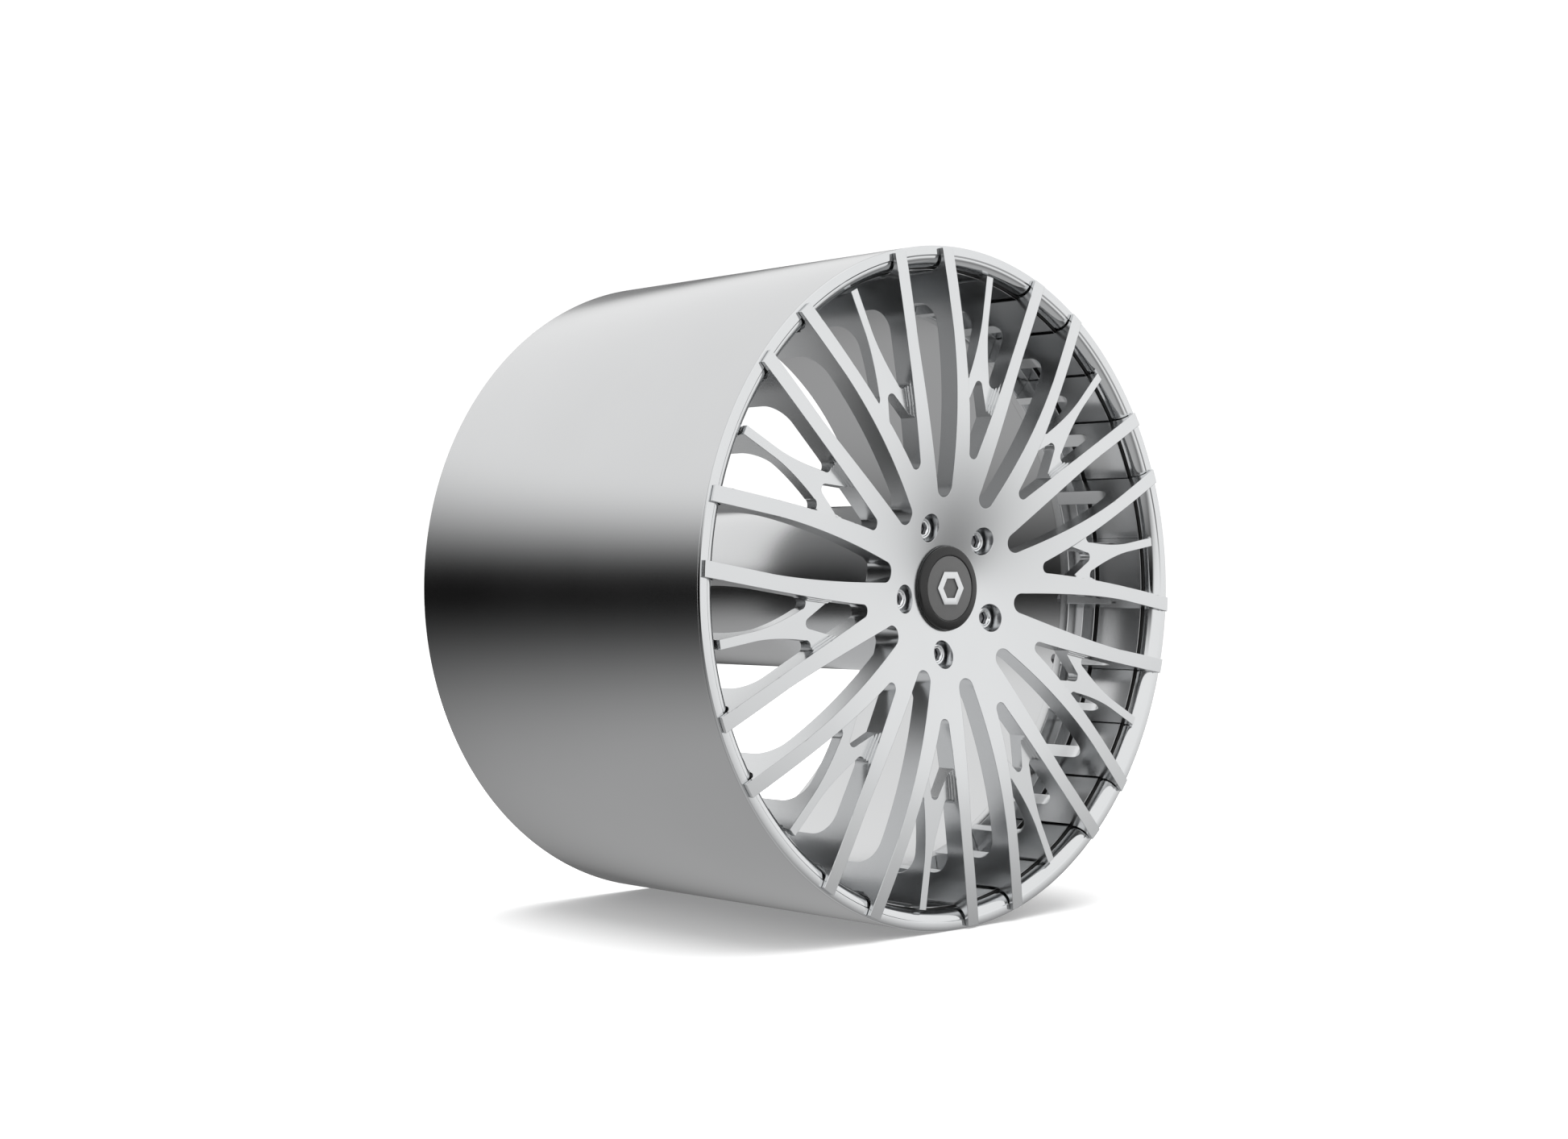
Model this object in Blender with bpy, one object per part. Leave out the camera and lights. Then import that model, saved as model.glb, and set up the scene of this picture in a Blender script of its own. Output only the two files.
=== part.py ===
"""Forged multi-piece racing wheel rim, 24 x 16 in, 5 x 127 bolt circle.

The wheel turns about the Y axis and its face looks towards -Y, with +Z up.
Everything along the axis is given as a station: the distance in metres behind
the front plane of the outer flange, positive towards the vehicle.  Angles go
from +X towards +Z, as seen from the front.
"""

import bpy
import bmesh
from math import asin, atan2, cos, degrees, hypot, pi, radians, sin
from mathutils import Matrix, Vector

# ---------------------------------------------------------------- overall
FLANGE_RADIUS = 0.3223          # outside of the flange and of the barrel
REAR_STATION = 0.414            # rear edge of the barrel
FIT_GAP = 0.0003                # between pieces that touch
FOOT_GAP = 0.0020               # between the centre's feet and the lip and liner
TIP_GAP = 0.0005                # between the spokes' tips and the flange they lie over
EDGE_BREAK = 0.0015             # chamfer on the rear edges
HOLE_OVERRUN = 0.002            # how far cutters run past the faces they cut
WINDOW_OVERRUN = 0.0192         # how far windows run past the spoke tips
CUTTER_REACH = 0.010            # how far they start ahead of and end behind the centre

# ---------------------------------------------------------------- front of the barrel
BARREL_WALL = 0.0223
SKIN = 0.0063                   # barrel wall outside the socket that holds lip and liner
LIP_FLANGE_THICKNESS = 0.0030
LIP_FLANGE_EDGE = 0.0008        # chamfer round the flange
LIP_FLANGE_WIDTH = 0.0083       # flat front of the flange
LIP_STEP = 0.0010               # small step between that flat and the rolled curve
LIP_ROLL = 0.0100               # how far the rolled curve comes inwards
LIP_LENGTH = 0.0130
SEAL_WIDTH = 0.0025             # black ring between lip and liner
SEAL_PROUD = 0.0012             # how far that ring stands inside the lip's throat
LINER_STEP = 0.0020             # how far the liner stands inside the lip's throat
JOINT_STATION = 0.0710          # rear end of the liner
JOINT_SEAL_WIDTH = 0.0045
JOINT_SEAL_PROUD = 0.0002       # how far that ring stands inside the liner
FLANGE_STATION = 0.0913         # front face of the mounting flange in the barrel
FLANGE_THICKNESS = 0.0120
FLANGE_DEPTH = 0.0250           # how far the mounting flange stands in from the barrel's wall

BARREL_BORE = FLANGE_RADIUS - BARREL_WALL
SOCKET_RADIUS = FLANGE_RADIUS - SKIN
LIP_FLANGE_BORE = FLANGE_RADIUS - LIP_FLANGE_WIDTH
LIP_THROAT_RADIUS = LIP_FLANGE_BORE - LIP_STEP - LIP_ROLL
LINER_BORE = LIP_THROAT_RADIUS - LINER_STEP
MOUNTING_BORE = BARREL_BORE - FLANGE_DEPTH

# ---------------------------------------------------------------- centre disc
TIP_INSET = 0.0015              # spoke tips inside the flange's edge
CROWN_STATION = -0.0075         # foremost point of the spokes
CROWN_RADIUS = 0.2150           # radius at which the spokes stand foremost
TIP_STATION = -0.0040           # face of a spoke at its tip
HUB_STATION = 0.0090            # face of the dish on the bolt circle
BOLT_CIRCLE_RADIUS = 0.0635
WEB_THICKNESS = 0.0205          # spokes, front to back
HUB_BACK_STATION = 0.0380
HUB_PAD_MARGIN = 0.0020         # the centre's rear pad beyond the hub tube
HUB_RAMP = 0.0270               # slope from that pad up to the spokes' backs
FOOT_DEPTH = 0.0275             # radial depth of the feet
FOOT_FILLET = 0.0220
CAP_RADIUS = 0.03985
CAP_SEAT_CLEARANCE = 0.00045
CAP_LEDGE = 0.0038              # width of the ledge the cap rests on
CAP_SEAT_STATION = 0.0147
PAIR_COUNT = 10
PAIR_ANGLE = 27.0               # first pair of full spokes
FORK_ANGLE = 9.0                # first forked short spoke

SPOKE_TIP_RADIUS = FLANGE_RADIUS - TIP_INSET
FOOT_OUTER = LINER_BORE - FOOT_GAP
FOOT_BORE = FOOT_OUTER - FOOT_DEPTH
CAP_SEAT_RADIUS = CAP_RADIUS + CAP_SEAT_CLEARANCE
CENTRE_BORE = CAP_SEAT_RADIUS - CAP_LEDGE

# windows, in a frame that runs outwards along the pair's or the fork's own axis
SLOT_MARGIN = 0.0040            # between the hub pad and the inner end of a pair's slot
SLOT_END_RADIUS = 0.0097
SLOT_HALF_WIDTH = 0.0252        # where its sides run parallel
SLOT_PARALLEL_FROM = 0.2450
SLOT_TAPER = 1.55
SPOKE_WIDTH = 0.0144            # of a full spoke at its tip
SPOKE_ROOT_SHIFT = 0.0052       # how far its outer side moves in at the root
SPOKE_ROOT = 0.1250
SPOKE_ROOT_POWER = 3
FORK_SLOT_CENTRE = 0.1303
FORK_SLOT_RADIUS = 0.0060
FORK_ARM_FROM = 0.1690
FORK_CROTCH_CENTRE = 0.1950
FORK_CROTCH_RADIUS = 0.0050
FORK_BED_SHIFT = 0.0040         # start of the sunk bed beyond the slot's centre
SIDE_WINDOW_CENTRE = 0.2032
SIDE_WINDOW_RADIUS = 0.0057
SIDE_WINDOW_OFFSET = 0.0196
SHORT_HALF_WIDTH = 0.0044
SHORT_FLARE_FROM = 0.2620
SHORT_FLARE = 0.0096
SHORT_FLARE_POWER = 1.7
SHORT_TIP_INSET = 0.0005        # end of a short spoke inside the lip's throat
FORK_FACE_STATION = 0.0007      # flat, sunk face of the forks

SPOKE_OUTER_OFFSET = SLOT_HALF_WIDTH + SPOKE_WIDTH
SHORT_TIP_RADIUS = LIP_THROAT_RADIUS - SHORT_TIP_INSET
WINDOW_OUT = SPOKE_TIP_RADIUS + WINDOW_OVERRUN

# ---------------------------------------------------------------- assembly bolts
BOLT_SHANK_RADIUS = 0.0040
BOLT_HEAD_RADIUS = 0.0065
BOLT_HEAD_HEIGHT = 0.0080
BOLT_SIDES = 6
BOLT_BITE = 0.0160              # length inside the foot
BOLT_END_CLEARANCE = 0.0010
BOLT_PITCH_RADIUS = (FOOT_OUTER + FOOT_BORE) / 2

# ---------------------------------------------------------------- hub, studs, nuts
ADAPTER_REAR_INSET = 0.0640     # hub's rear face inside the barrel's rear edge
ADAPTER_WALL = 0.0070
ADAPTER_FRONT_PLATE = 0.0280
ADAPTER_REAR_PLATE = 0.0200
ADAPTER_BORE_STEP = 0.00265     # adapter's bore beyond the centre bore
ACCESS_HOLE_RADIUS = 0.0125
VEHICLE_HOLE_RADIUS = 0.0075
HUB_RING_WALL = 0.0031
HUB_RING_LENGTH = 0.0120
LUG_COUNT = 5
LUG_ANGLE = 45.0
STUD_RADIUS = 0.0070
STUD_HEAD_WIDTH = 0.0025        # head beyond the shank
STUD_CHAMFER = 0.0010
STUD_HEAD_CLEARANCE = 0.0010    # between the heads and the hub tube's wall
STUD_HEAD_HEIGHT = 0.0050
STUD_TIP_STATION = 0.0230
THREAD_CLEARANCE = 0.0003
WASHER_CLEARANCE = 0.0005       # round the washer in its pocket
LUG_SEAT_STATION = 0.0275
NUT_SEAT_WIDTH = 0.0015         # nut's shoulder beyond its shank
NUT_TOP_STATION = 0.0165
NUT_STEP_WIDTH = 0.0016         # flat ring inside the nut's rounded shoulder
NUT_STEP_DROP = 0.0012
NUT_SHOULDER = 0.0016
NUT_DRIVE_INSET = 0.0008        # drive socket inside the stud's radius
NUT_SHANK_WALL = 0.0025         # shank that centres the nut in the disc's hole
NUT_SHANK_LENGTH = 0.0110
SHANK_CLEARANCE = 0.0004
WASHER_WIDTH = 0.0018           # washer beyond the nut
WASHER_THICKNESS = 0.0026

ADAPTER_REAR_STATION = REAR_STATION - ADAPTER_REAR_INSET
ADAPTER_BORE = CENTRE_BORE + ADAPTER_BORE_STEP
NUT_SHANK_RADIUS = STUD_RADIUS + NUT_SHANK_WALL
NUT_RADIUS = NUT_SHANK_RADIUS + NUT_SEAT_WIDTH
NUT_STEP_RADIUS = NUT_RADIUS - NUT_SHOULDER - NUT_STEP_WIDTH
NUT_DRIVE_RADIUS = STUD_RADIUS - NUT_DRIVE_INSET
STUD_HEAD_RADIUS = STUD_RADIUS + STUD_HEAD_WIDTH
WASHER_RADIUS = NUT_RADIUS + WASHER_WIDTH
LUG_POCKET_RADIUS = WASHER_RADIUS + WASHER_CLEARANCE
ADAPTER_CAVITY = BOLT_CIRCLE_RADIUS + STUD_HEAD_RADIUS + STUD_HEAD_CLEARANCE
ADAPTER_RADIUS = ADAPTER_CAVITY + ADAPTER_WALL
HUB_PAD_RADIUS = ADAPTER_RADIUS + HUB_PAD_MARGIN
SLOT_END = HUB_PAD_RADIUS + SLOT_MARGIN

# ---------------------------------------------------------------- centre cap
CAP_FRONT_STATION = 0.0097
CAP_BEZEL_WIDTH = 0.00885
CAP_FACE_SINK = 0.0004          # face behind the bevelled ring's front
CAP_FACE_EDGE = 0.0010          # small slope from that front to the face
CAP_BEVEL_EDGE = 0.0006
CAP_BEVEL_DROP = 0.0016
CAP_FACE_THICKNESS = 0.0016
CAP_RIM_THICKNESS = 0.0025
CAP_SKIRT_WALL = 0.0034
CAP_SKIRT_REAR = 0.0300
CLIP_WIRE_RADIUS = 0.0007
CLIP_STATION = 0.0260
EMBLEM_RADIUS = 0.0180          # a plain raised six-sided ring
EMBLEM_BORE = 0.0105
EMBLEM_THICKNESS = 0.0012
EMBLEM_SIDES = 6

CAP_FACE_RADIUS = CAP_RADIUS - CAP_BEZEL_WIDTH
CAP_SKIRT_RADIUS = CENTRE_BORE - FIT_GAP

# ---------------------------------------------------------------- tyre valve
VALVE_ANGLE = 315.0             # in the middle of a pair's slot
VALVE_STATION = 0.0450
VALVE_HOLE_RADIUS = 0.0058
VALVE_STEM_RADIUS = 0.0039
VALVE_PIN_RADIUS = 0.0010
VALVE_BORE_RADIUS = 0.0022
VALVE_HEAD_RADIUS = 0.0080
VALVE_HEAD_THICKNESS = 0.0030
VALVE_HEAD_POCKET = 0.0072      # depth of the pocket outside the barrel
VALVE_NUT_RADIUS = 0.0072
VALVE_NUT_THICKNESS = 0.0050
VALVE_STEM_LENGTH = 0.0240      # inwards from the liner's bore
VALVE_CAP_LENGTH = 0.0110
VALVE_CAP_WALL = 0.0012
VALVE_CAP_HEADROOM = 0.0012     # between the stem's tip and the cap's end
VALVE_HEAD_CLEARANCE = 0.0004
VALVE_GROMMET_LIP = 0.0022      # rubber under the stem's head
VALVE_GROMMET_SHORT = 0.0010    # rubber ends this far outside the liner's bore
VALVE_NUT_START = 0.0010        # nut begins this far inside the liner's bore
VALVE_NUT_SIDES = 6
VALVE_BORE_DEPTH = 0.0120
VALVE_PIN_STAND = 0.0020        # pin's foot above the floor of the bore
VALVE_PIN_INSET = 0.0004

# ---------------------------------------------------------------- resolution
RING_STEPS = 60                 # the barrel's and the centre's spokes share these facets
HUB_STEPS = 32
NUT_STEPS = 12
SMALL_STEPS = 8

MID_STATION = (CROWN_STATION + REAR_STATION) / 2     # world Y = 0


def clear_scene():
    for obj in list(bpy.data.objects):
        bpy.data.objects.remove(obj, do_unlink=True)


def y_of(station):
    """World Y of a station."""
    return station - MID_STATION


def make_material(name, colour, metallic, roughness):
    mat = bpy.data.materials.new(name)
    mat.use_nodes = True
    shader = mat.node_tree.nodes["Principled BSDF"]
    shader.inputs["Base Color"].default_value = (*colour, 1.0)
    shader.inputs["Metallic"].default_value = metallic
    shader.inputs["Roughness"].default_value = roughness
    mat.diffuse_color = (*colour, 1.0)
    return mat


def add_object(name, bm, mat):
    """Turn a bmesh into a named, smooth-shaded object."""
    bmesh.ops.remove_doubles(bm, verts=bm.verts, dist=0.000002)
    bmesh.ops.recalc_face_normals(bm, faces=bm.faces)
    mesh = bpy.data.meshes.new(name)
    bm.to_mesh(mesh)
    bm.free()
    mesh.shade_smooth()
    mesh.set_sharp_from_angle(angle=radians(30.0))
    mesh.materials.append(mat)
    obj = bpy.data.objects.new(name, mesh)
    bpy.context.scene.collection.objects.link(obj)
    return obj


def turned(profile, steps, closed=True):
    """Spin a profile of (radius, station) points about the wheel's axis.

    A closed profile is a ring's section.  An open one starts and ends on the axis.
    """
    bm = bmesh.new()
    verts = [bm.verts.new((r, y_of(s), 0.0)) for r, s in profile]
    pairs = list(zip(verts, verts[1:]))
    if closed:
        pairs.append((verts[-1], verts[0]))
    edges = [bm.edges.new(pair) for pair in pairs]
    bmesh.ops.spin(bm, geom=verts + edges, cent=(0, 0, 0), axis=(0, 1, 0),
                   angle=2 * pi, steps=steps, use_merge=True)
    bmesh.ops.remove_doubles(bm, verts=bm.verts, dist=0.000002)
    bmesh.ops.recalc_face_normals(bm, faces=bm.faces)
    return bm


def turned_at(profile, steps, x, z, closed=True):
    """The same, about an axis parallel to the wheel's at (x, z)."""
    bm = turned(profile, steps, closed)
    bmesh.ops.translate(bm, verts=bm.verts, vec=(x, 0, z))
    return bm


def add_prism(bm, outline, front, rear, angle):
    """Extrude an outline of (out, across) points between two stations.

    The outline's frame runs outwards along a spoke's axis at the given angle.
    """
    turn = Matrix.Rotation(-radians(angle), 4, "Y")
    verts = [bm.verts.new(turn @ Vector((u, y_of(front), v))) for u, v in outline]
    face = bm.faces.new(verts)
    made = bmesh.ops.extrude_face_region(bm, geom=[face])
    moved = [item for item in made["geom"] if isinstance(item, bmesh.types.BMVert)]
    bmesh.ops.translate(bm, verts=moved, vec=(0, rear - front, 0))


def cut(obj, bm, label):
    """Subtract a mesh from an object with a live exact Boolean."""
    bmesh.ops.recalc_face_normals(bm, faces=bm.faces)
    mesh = bpy.data.meshes.new(label)
    bm.to_mesh(mesh)
    bm.free()
    cutter = bpy.data.objects.new(label, mesh)
    bpy.context.scene.collection.objects.link(cutter)
    cutter.hide_render = True
    cutter.display_type = "WIRE"
    modifier = obj.modifiers.new(label, "BOOLEAN")
    modifier.operation = "DIFFERENCE"
    modifier.solver = "EXACT"
    modifier.object = cutter


def arc(cu, cv, radius, start, end, steps):
    """Points along an arc, angles in degrees."""
    points = []
    for i in range(steps + 1):
        a = radians(start + (end - start) * i / steps)
        points.append((cu + radius * cos(a), cv + radius * sin(a)))
    return points


def steps_between(start, end, count):
    return [start + (end - start) * i / count for i in range(count + 1)]


def polar(radius, angle):
    return radius * cos(radians(angle)), radius * sin(radians(angle))


# ================================================================ shapes that repeat

def face_station(r):
    """Front of the centre: a crowned spoke that runs into a dished hub."""
    if r >= CROWN_RADIUS:
        share = (r - CROWN_RADIUS) / (SPOKE_TIP_RADIUS - CROWN_RADIUS)
        return CROWN_STATION + (TIP_STATION - CROWN_STATION) * share * share
    share = (CROWN_RADIUS - r) / (CROWN_RADIUS - BOLT_CIRCLE_RADIUS)
    return CROWN_STATION + (HUB_STATION - CROWN_STATION) * share * share


def lip_curve(offset, steps):
    """The lip's rolled curve, a quarter ellipse from flange to throat, moved inwards."""
    start = LIP_FLANGE_BORE - LIP_STEP
    drop = start - LIP_THROAT_RADIUS
    depth = LIP_LENGTH - LIP_STEP
    points = []
    for i in range(steps + 1):
        a = radians(90.0 * i / steps)
        normal = Vector((sin(a) / drop, cos(a) / depth)).normalized()
        r = start - drop * sin(a)
        s = LIP_STEP + depth * (1 - cos(a))
        points.append((r - offset * normal.x, s - offset * normal.y))
    return points


def slot_half_width(u):
    """Half the width of a pair's slot at a distance from the wheel's axis."""
    start = SLOT_END + SLOT_END_RADIUS
    share = max(0.0, (SLOT_PARALLEL_FROM - u) / (SLOT_PARALLEL_FROM - start))
    return SLOT_HALF_WIDTH - (SLOT_HALF_WIDTH - SLOT_END_RADIUS) * share ** SLOT_TAPER


def spoke_outer_side(u):
    """Outer side of a full spoke, as a distance from its pair's axis."""
    share = (SPOKE_TIP_RADIUS - u) / (SPOKE_TIP_RADIUS - SPOKE_ROOT)
    return SPOKE_OUTER_OFFSET - SPOKE_ROOT_SHIFT * max(0.0, share) ** SPOKE_ROOT_POWER


def wedge_side(u_pair):
    """The same side in the frame of the fork between two pairs."""
    half = radians(180.0 / PAIR_COUNT)
    w = spoke_outer_side(u_pair)
    return u_pair * cos(half) + w * sin(half), u_pair * sin(half) - w * cos(half)


def find_side(measure, target):
    """Halve towards the distance along a pair where a measure of wedge_side meets a target."""
    low, high = CAP_SEAT_RADIUS, WINDOW_OUT
    for _ in range(40):
        middle = (low + high) / 2
        if measure(*wedge_side(middle)) < target:
            low = middle
        else:
            high = middle
    return low


def along(u, v):
    return u


def side_at(u_fork):
    """Where wedge_side is a given distance out along the fork's axis."""
    return find_side(along, u_fork)


def short_half_width(u):
    """Half the width of a short spoke."""
    share = (SHORT_FLARE_FROM - u) / (SHORT_FLARE_FROM - SIDE_WINDOW_CENTRE)
    return SHORT_HALF_WIDTH + SHORT_FLARE * max(0.0, share) ** SHORT_FLARE_POWER


def mirrored(side):
    """A closed outline from its upper side, which runs outwards."""
    return side + [(u, -v) for u, v in reversed(side) if v > 1e-9]


def pair_slot_outline():
    start = SLOT_END + SLOT_END_RADIUS
    side = arc(start, 0, SLOT_END_RADIUS, 180, 90, 3)
    side += [(u, slot_half_width(u)) for u in steps_between(start, SLOT_PARALLEL_FROM, 4)[1:]]
    side.append((WINDOW_OUT, SLOT_HALF_WIDTH))
    return mirrored(side)


def fork_slot_outline():
    side = arc(FORK_SLOT_CENTRE, 0, FORK_SLOT_RADIUS, 180, 110, 3)
    low = side_at(FORK_SLOT_CENTRE + FORK_SLOT_RADIUS / 2)
    high = side_at(FORK_ARM_FROM)
    side += [wedge_side(u) for u in steps_between(low, high, 2)]
    side += arc(FORK_CROTCH_CENTRE, 0, FORK_CROTCH_RADIUS, 68, 0, 3)
    return mirrored(side)


def side_window_outline():
    cu, cv = SIDE_WINDOW_CENTRE, SIDE_WINDOW_OFFSET
    points = arc(cu, cv, SIDE_WINDOW_RADIUS, 275, 105, 4)
    low = side_at(cu + SIDE_WINDOW_RADIUS / 2)
    points += [wedge_side(u) for u in steps_between(low, SPOKE_TIP_RADIUS, 2)]
    points.append(wedge_side(WINDOW_OUT))
    points.append((WINDOW_OUT, SHORT_HALF_WIDTH))
    points += [(u, short_half_width(u)) for u in steps_between(SHORT_FLARE_FROM, cu, 3)[:-1]]
    return points


def wedge_outline(start):
    """Everything between two neighbouring pairs, outwards from a start radius."""
    low = side_at(start)
    side = [wedge_side(u) for u in steps_between(low, SPOKE_TIP_RADIUS, 3)]
    side.append(wedge_side(WINDOW_OUT))
    return mirrored(side)


def tip_relief_outline():
    """The space beyond the end of a short spoke."""
    u, v = wedge_side(find_side(hypot, SHORT_TIP_RADIUS))
    spread = degrees(atan2(v, u))
    inner = arc(0, 0, SHORT_TIP_RADIUS, -spread, spread, 4)
    outer_u, outer_v = wedge_side(WINDOW_OUT)
    return [(outer_u, -outer_v)] + inner + [(outer_u, outer_v)]


# ================================================================ barrel, lip and seals

def make_barrel(mat):
    r, e = FLANGE_RADIUS, EDGE_BREAK
    seat = JOINT_STATION + FIT_GAP + JOINT_SEAL_WIDTH + FIT_GAP
    profile = [
        (SOCKET_RADIUS, LIP_FLANGE_THICKNESS + FIT_GAP), (r, LIP_FLANGE_THICKNESS + FIT_GAP),
        (r, REAR_STATION - e), (r - e, REAR_STATION),
        (BARREL_BORE + e, REAR_STATION), (BARREL_BORE, REAR_STATION - e),
        (BARREL_BORE, seat), (SOCKET_RADIUS, seat),
    ]
    barrel = add_object("barrel", turned(profile, RING_STEPS), mat)
    cut(barrel, valve_hole(VALVE_HEAD_RADIUS + FIT_GAP), "barrel_valve_hole")


def make_barrel_flange(mat):
    """The ring inside the barrel that the centre's feet are bolted to."""
    flange_rear = FLANGE_STATION + FLANGE_THICKNESS
    section = ring_profile(MOUNTING_BORE, BARREL_BORE - FIT_GAP, FLANGE_STATION, flange_rear)
    flange = add_object("barrel_flange", turned(section, RING_STEPS), mat)
    holes = bmesh.new()
    for angle in bolt_angles():
        x, z = polar(BOLT_PITCH_RADIUS, angle)
        hole = rod_profile(BOLT_SHANK_RADIUS + FIT_GAP, FLANGE_STATION - HOLE_OVERRUN,
                           flange_rear + HOLE_OVERRUN)
        append(holes, turned_at(hole, BOLT_SIDES, x, z, False))
    cut(flange, holes, "flange_bolt_holes")


def rod_profile(radius, front, rear):
    return [(0, front), (radius, front), (radius, rear), (0, rear)]


def append(target, source):
    """Copy one bmesh into another."""
    mesh = bpy.data.meshes.new("scratch")
    source.to_mesh(mesh)
    source.free()
    target.from_mesh(mesh)
    bpy.data.meshes.remove(mesh)


def bolt_angles():
    """One bolt in the middle of every full spoke's foot."""
    middle = (SLOT_HALF_WIDTH + spoke_outer_side(BOLT_PITCH_RADIUS)) / 2
    half = degrees(asin(middle / BOLT_PITCH_RADIUS))
    angles = []
    for k in range(PAIR_COUNT):
        centre = PAIR_ANGLE + 360.0 * k / PAIR_COUNT
        angles += [centre - half, centre + half]
    return angles


def make_lip(mat):
    r, e = FLANGE_RADIUS, LIP_FLANGE_EDGE
    body = SOCKET_RADIUS - FIT_GAP
    profile = [(body, LIP_FLANGE_THICKNESS), (body, LIP_LENGTH)]
    profile += list(reversed(lip_curve(0, 4)))
    profile += [(LIP_FLANGE_BORE, 0), (r - e, 0), (r, e), (r, LIP_FLANGE_THICKNESS)]
    return add_object("outer_lip", turned(profile, RING_STEPS), mat)


def ring_profile(inner, outer, front, rear):
    return [(inner, front), (outer, front), (outer, rear), (inner, rear)]


def make_front_rings(liner_mat, seal_mat):
    """The two black seals and the liner between them, all in the barrel's socket."""
    outer = SOCKET_RADIUS - FIT_GAP
    seal_front = LIP_LENGTH + FIT_GAP
    seal_rear = seal_front + SEAL_WIDTH
    ring = ring_profile(LIP_THROAT_RADIUS - SEAL_PROUD, outer, seal_front, seal_rear)
    add_object("lip_seal", turned(ring, RING_STEPS), seal_mat)
    liner = ring_profile(LINER_BORE, outer, seal_rear + FIT_GAP, JOINT_STATION)
    liner_obj = add_object("barrel_liner", turned(liner, RING_STEPS), liner_mat)
    cut(liner_obj, valve_hole(VALVE_HOLE_RADIUS), "liner_valve_hole")
    front = JOINT_STATION + FIT_GAP
    ring = ring_profile(LINER_BORE - JOINT_SEAL_PROUD, outer, front, front + JOINT_SEAL_WIDTH)
    add_object("barrel_seal", turned(ring, RING_STEPS), seal_mat)


# ================================================================ centre disc

def disc_profile():
    """Section of the uncut centre: dished face, rolled rim, feet and hub pad."""
    rings = steps_between(CAP_SEAT_RADIUS, CROWN_RADIUS, 6)
    rings += steps_between(CROWN_RADIUS, SPOKE_TIP_RADIUS, 2)[1:]
    face = [(r, face_station(r)) for r in rings]
    seat = [(CENTRE_BORE, CAP_SEAT_STATION), (CAP_SEAT_RADIUS, CAP_SEAT_STATION)]
    rim = [(SPOKE_TIP_RADIUS, -TIP_GAP), (LIP_FLANGE_BORE, -TIP_GAP)]
    rim += lip_curve(FOOT_GAP, 3)[1:-1]
    rim += [(FOOT_OUTER, LIP_LENGTH), (FOOT_OUTER, FLANGE_STATION - FIT_GAP)]
    inner = [(FOOT_BORE, FLANGE_STATION - FIT_GAP)]
    start = FOOT_BORE - FOOT_FILLET
    back = face_station(start) + WEB_THICKNESS
    for r, s in arc(start, back + FOOT_FILLET, FOOT_FILLET, 0, -90, 3):
        inner.append((r, s))
    for r in steps_between(start, HUB_PAD_RADIUS + HUB_RAMP, 3)[1:]:
        inner.append((r, face_station(r) + WEB_THICKNESS))
    pad = [(HUB_PAD_RADIUS, HUB_BACK_STATION), (CENTRE_BORE, HUB_BACK_STATION)]
    return seat + face + rim + inner + pad


def windows(front, rear):
    """Every window that goes right through the centre."""
    bm = bmesh.new()
    for k in range(PAIR_COUNT):
        turn = 360.0 * k / PAIR_COUNT
        add_prism(bm, pair_slot_outline(), front, rear, PAIR_ANGLE + turn)
        add_prism(bm, fork_slot_outline(), front, rear, FORK_ANGLE + turn)
        outline = side_window_outline()
        add_prism(bm, outline, front, rear, FORK_ANGLE + turn)
        add_prism(bm, [(u, -v) for u, v in reversed(outline)], front, rear, FORK_ANGLE + turn)
    return bm


def make_disc(mat):
    disc = add_object("centre_disc", turned(disc_profile(), RING_STEPS), mat)
    ahead = CROWN_STATION - CUTTER_REACH
    cut(disc, windows(ahead, FLANGE_STATION + CUTTER_REACH), "disc_windows")
    sunk = bmesh.new()
    relief = bmesh.new()
    for k in range(PAIR_COUNT):
        angle = FORK_ANGLE + 360.0 * k / PAIR_COUNT
        bed = wedge_outline(FORK_SLOT_CENTRE + FORK_BED_SHIFT)
        add_prism(sunk, bed, ahead, FORK_FACE_STATION, angle)
        add_prism(relief, tip_relief_outline(), ahead, LIP_LENGTH + HOLE_OVERRUN, angle)
    cut(disc, sunk, "disc_sunk_forks")
    cut(disc, relief, "disc_tip_reliefs")
    holes = bmesh.new()
    for angle in lug_angles():
        x, z = polar(BOLT_CIRCLE_RADIUS, angle)
        pocket = rod_profile(LUG_POCKET_RADIUS, ahead, LUG_SEAT_STATION)
        shank = NUT_SHANK_RADIUS + SHANK_CLEARANCE
        through = rod_profile(shank, LUG_SEAT_STATION, HUB_BACK_STATION + HOLE_OVERRUN)
        profile = pocket[:3] + through[1:]
        append(holes, turned_at(profile, NUT_STEPS, x, z, False))
    for angle in bolt_angles():
        x, z = polar(BOLT_PITCH_RADIUS, angle)
        front = FLANGE_STATION - BOLT_BITE - BOLT_END_CLEARANCE
        rear = FLANGE_STATION + HOLE_OVERRUN
        tapped = rod_profile(BOLT_SHANK_RADIUS + THREAD_CLEARANCE, front, rear)
        append(holes, turned_at(tapped, BOLT_SIDES, x, z, False))
    cut(disc, holes, "disc_holes")


def make_bolts(mat):
    """Assembly bolts, one behind every full spoke."""
    tip = FLANGE_STATION - BOLT_BITE
    under = FLANGE_STATION + FLANGE_THICKNESS + FIT_GAP
    top = under + BOLT_HEAD_HEIGHT
    profile = [
        (0, tip), (BOLT_SHANK_RADIUS, tip), (BOLT_SHANK_RADIUS, under),
        (BOLT_HEAD_RADIUS, under), (BOLT_HEAD_RADIUS, top), (0, top),
    ]
    for i, angle in enumerate(bolt_angles()):
        x, z = polar(BOLT_PITCH_RADIUS, angle)
        bm = turned_at(profile, BOLT_SIDES, x, z, False)
        add_object("assembly_bolt_%02d" % (i + 1), bm, mat)


# ================================================================ hub, studs and nuts

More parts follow.
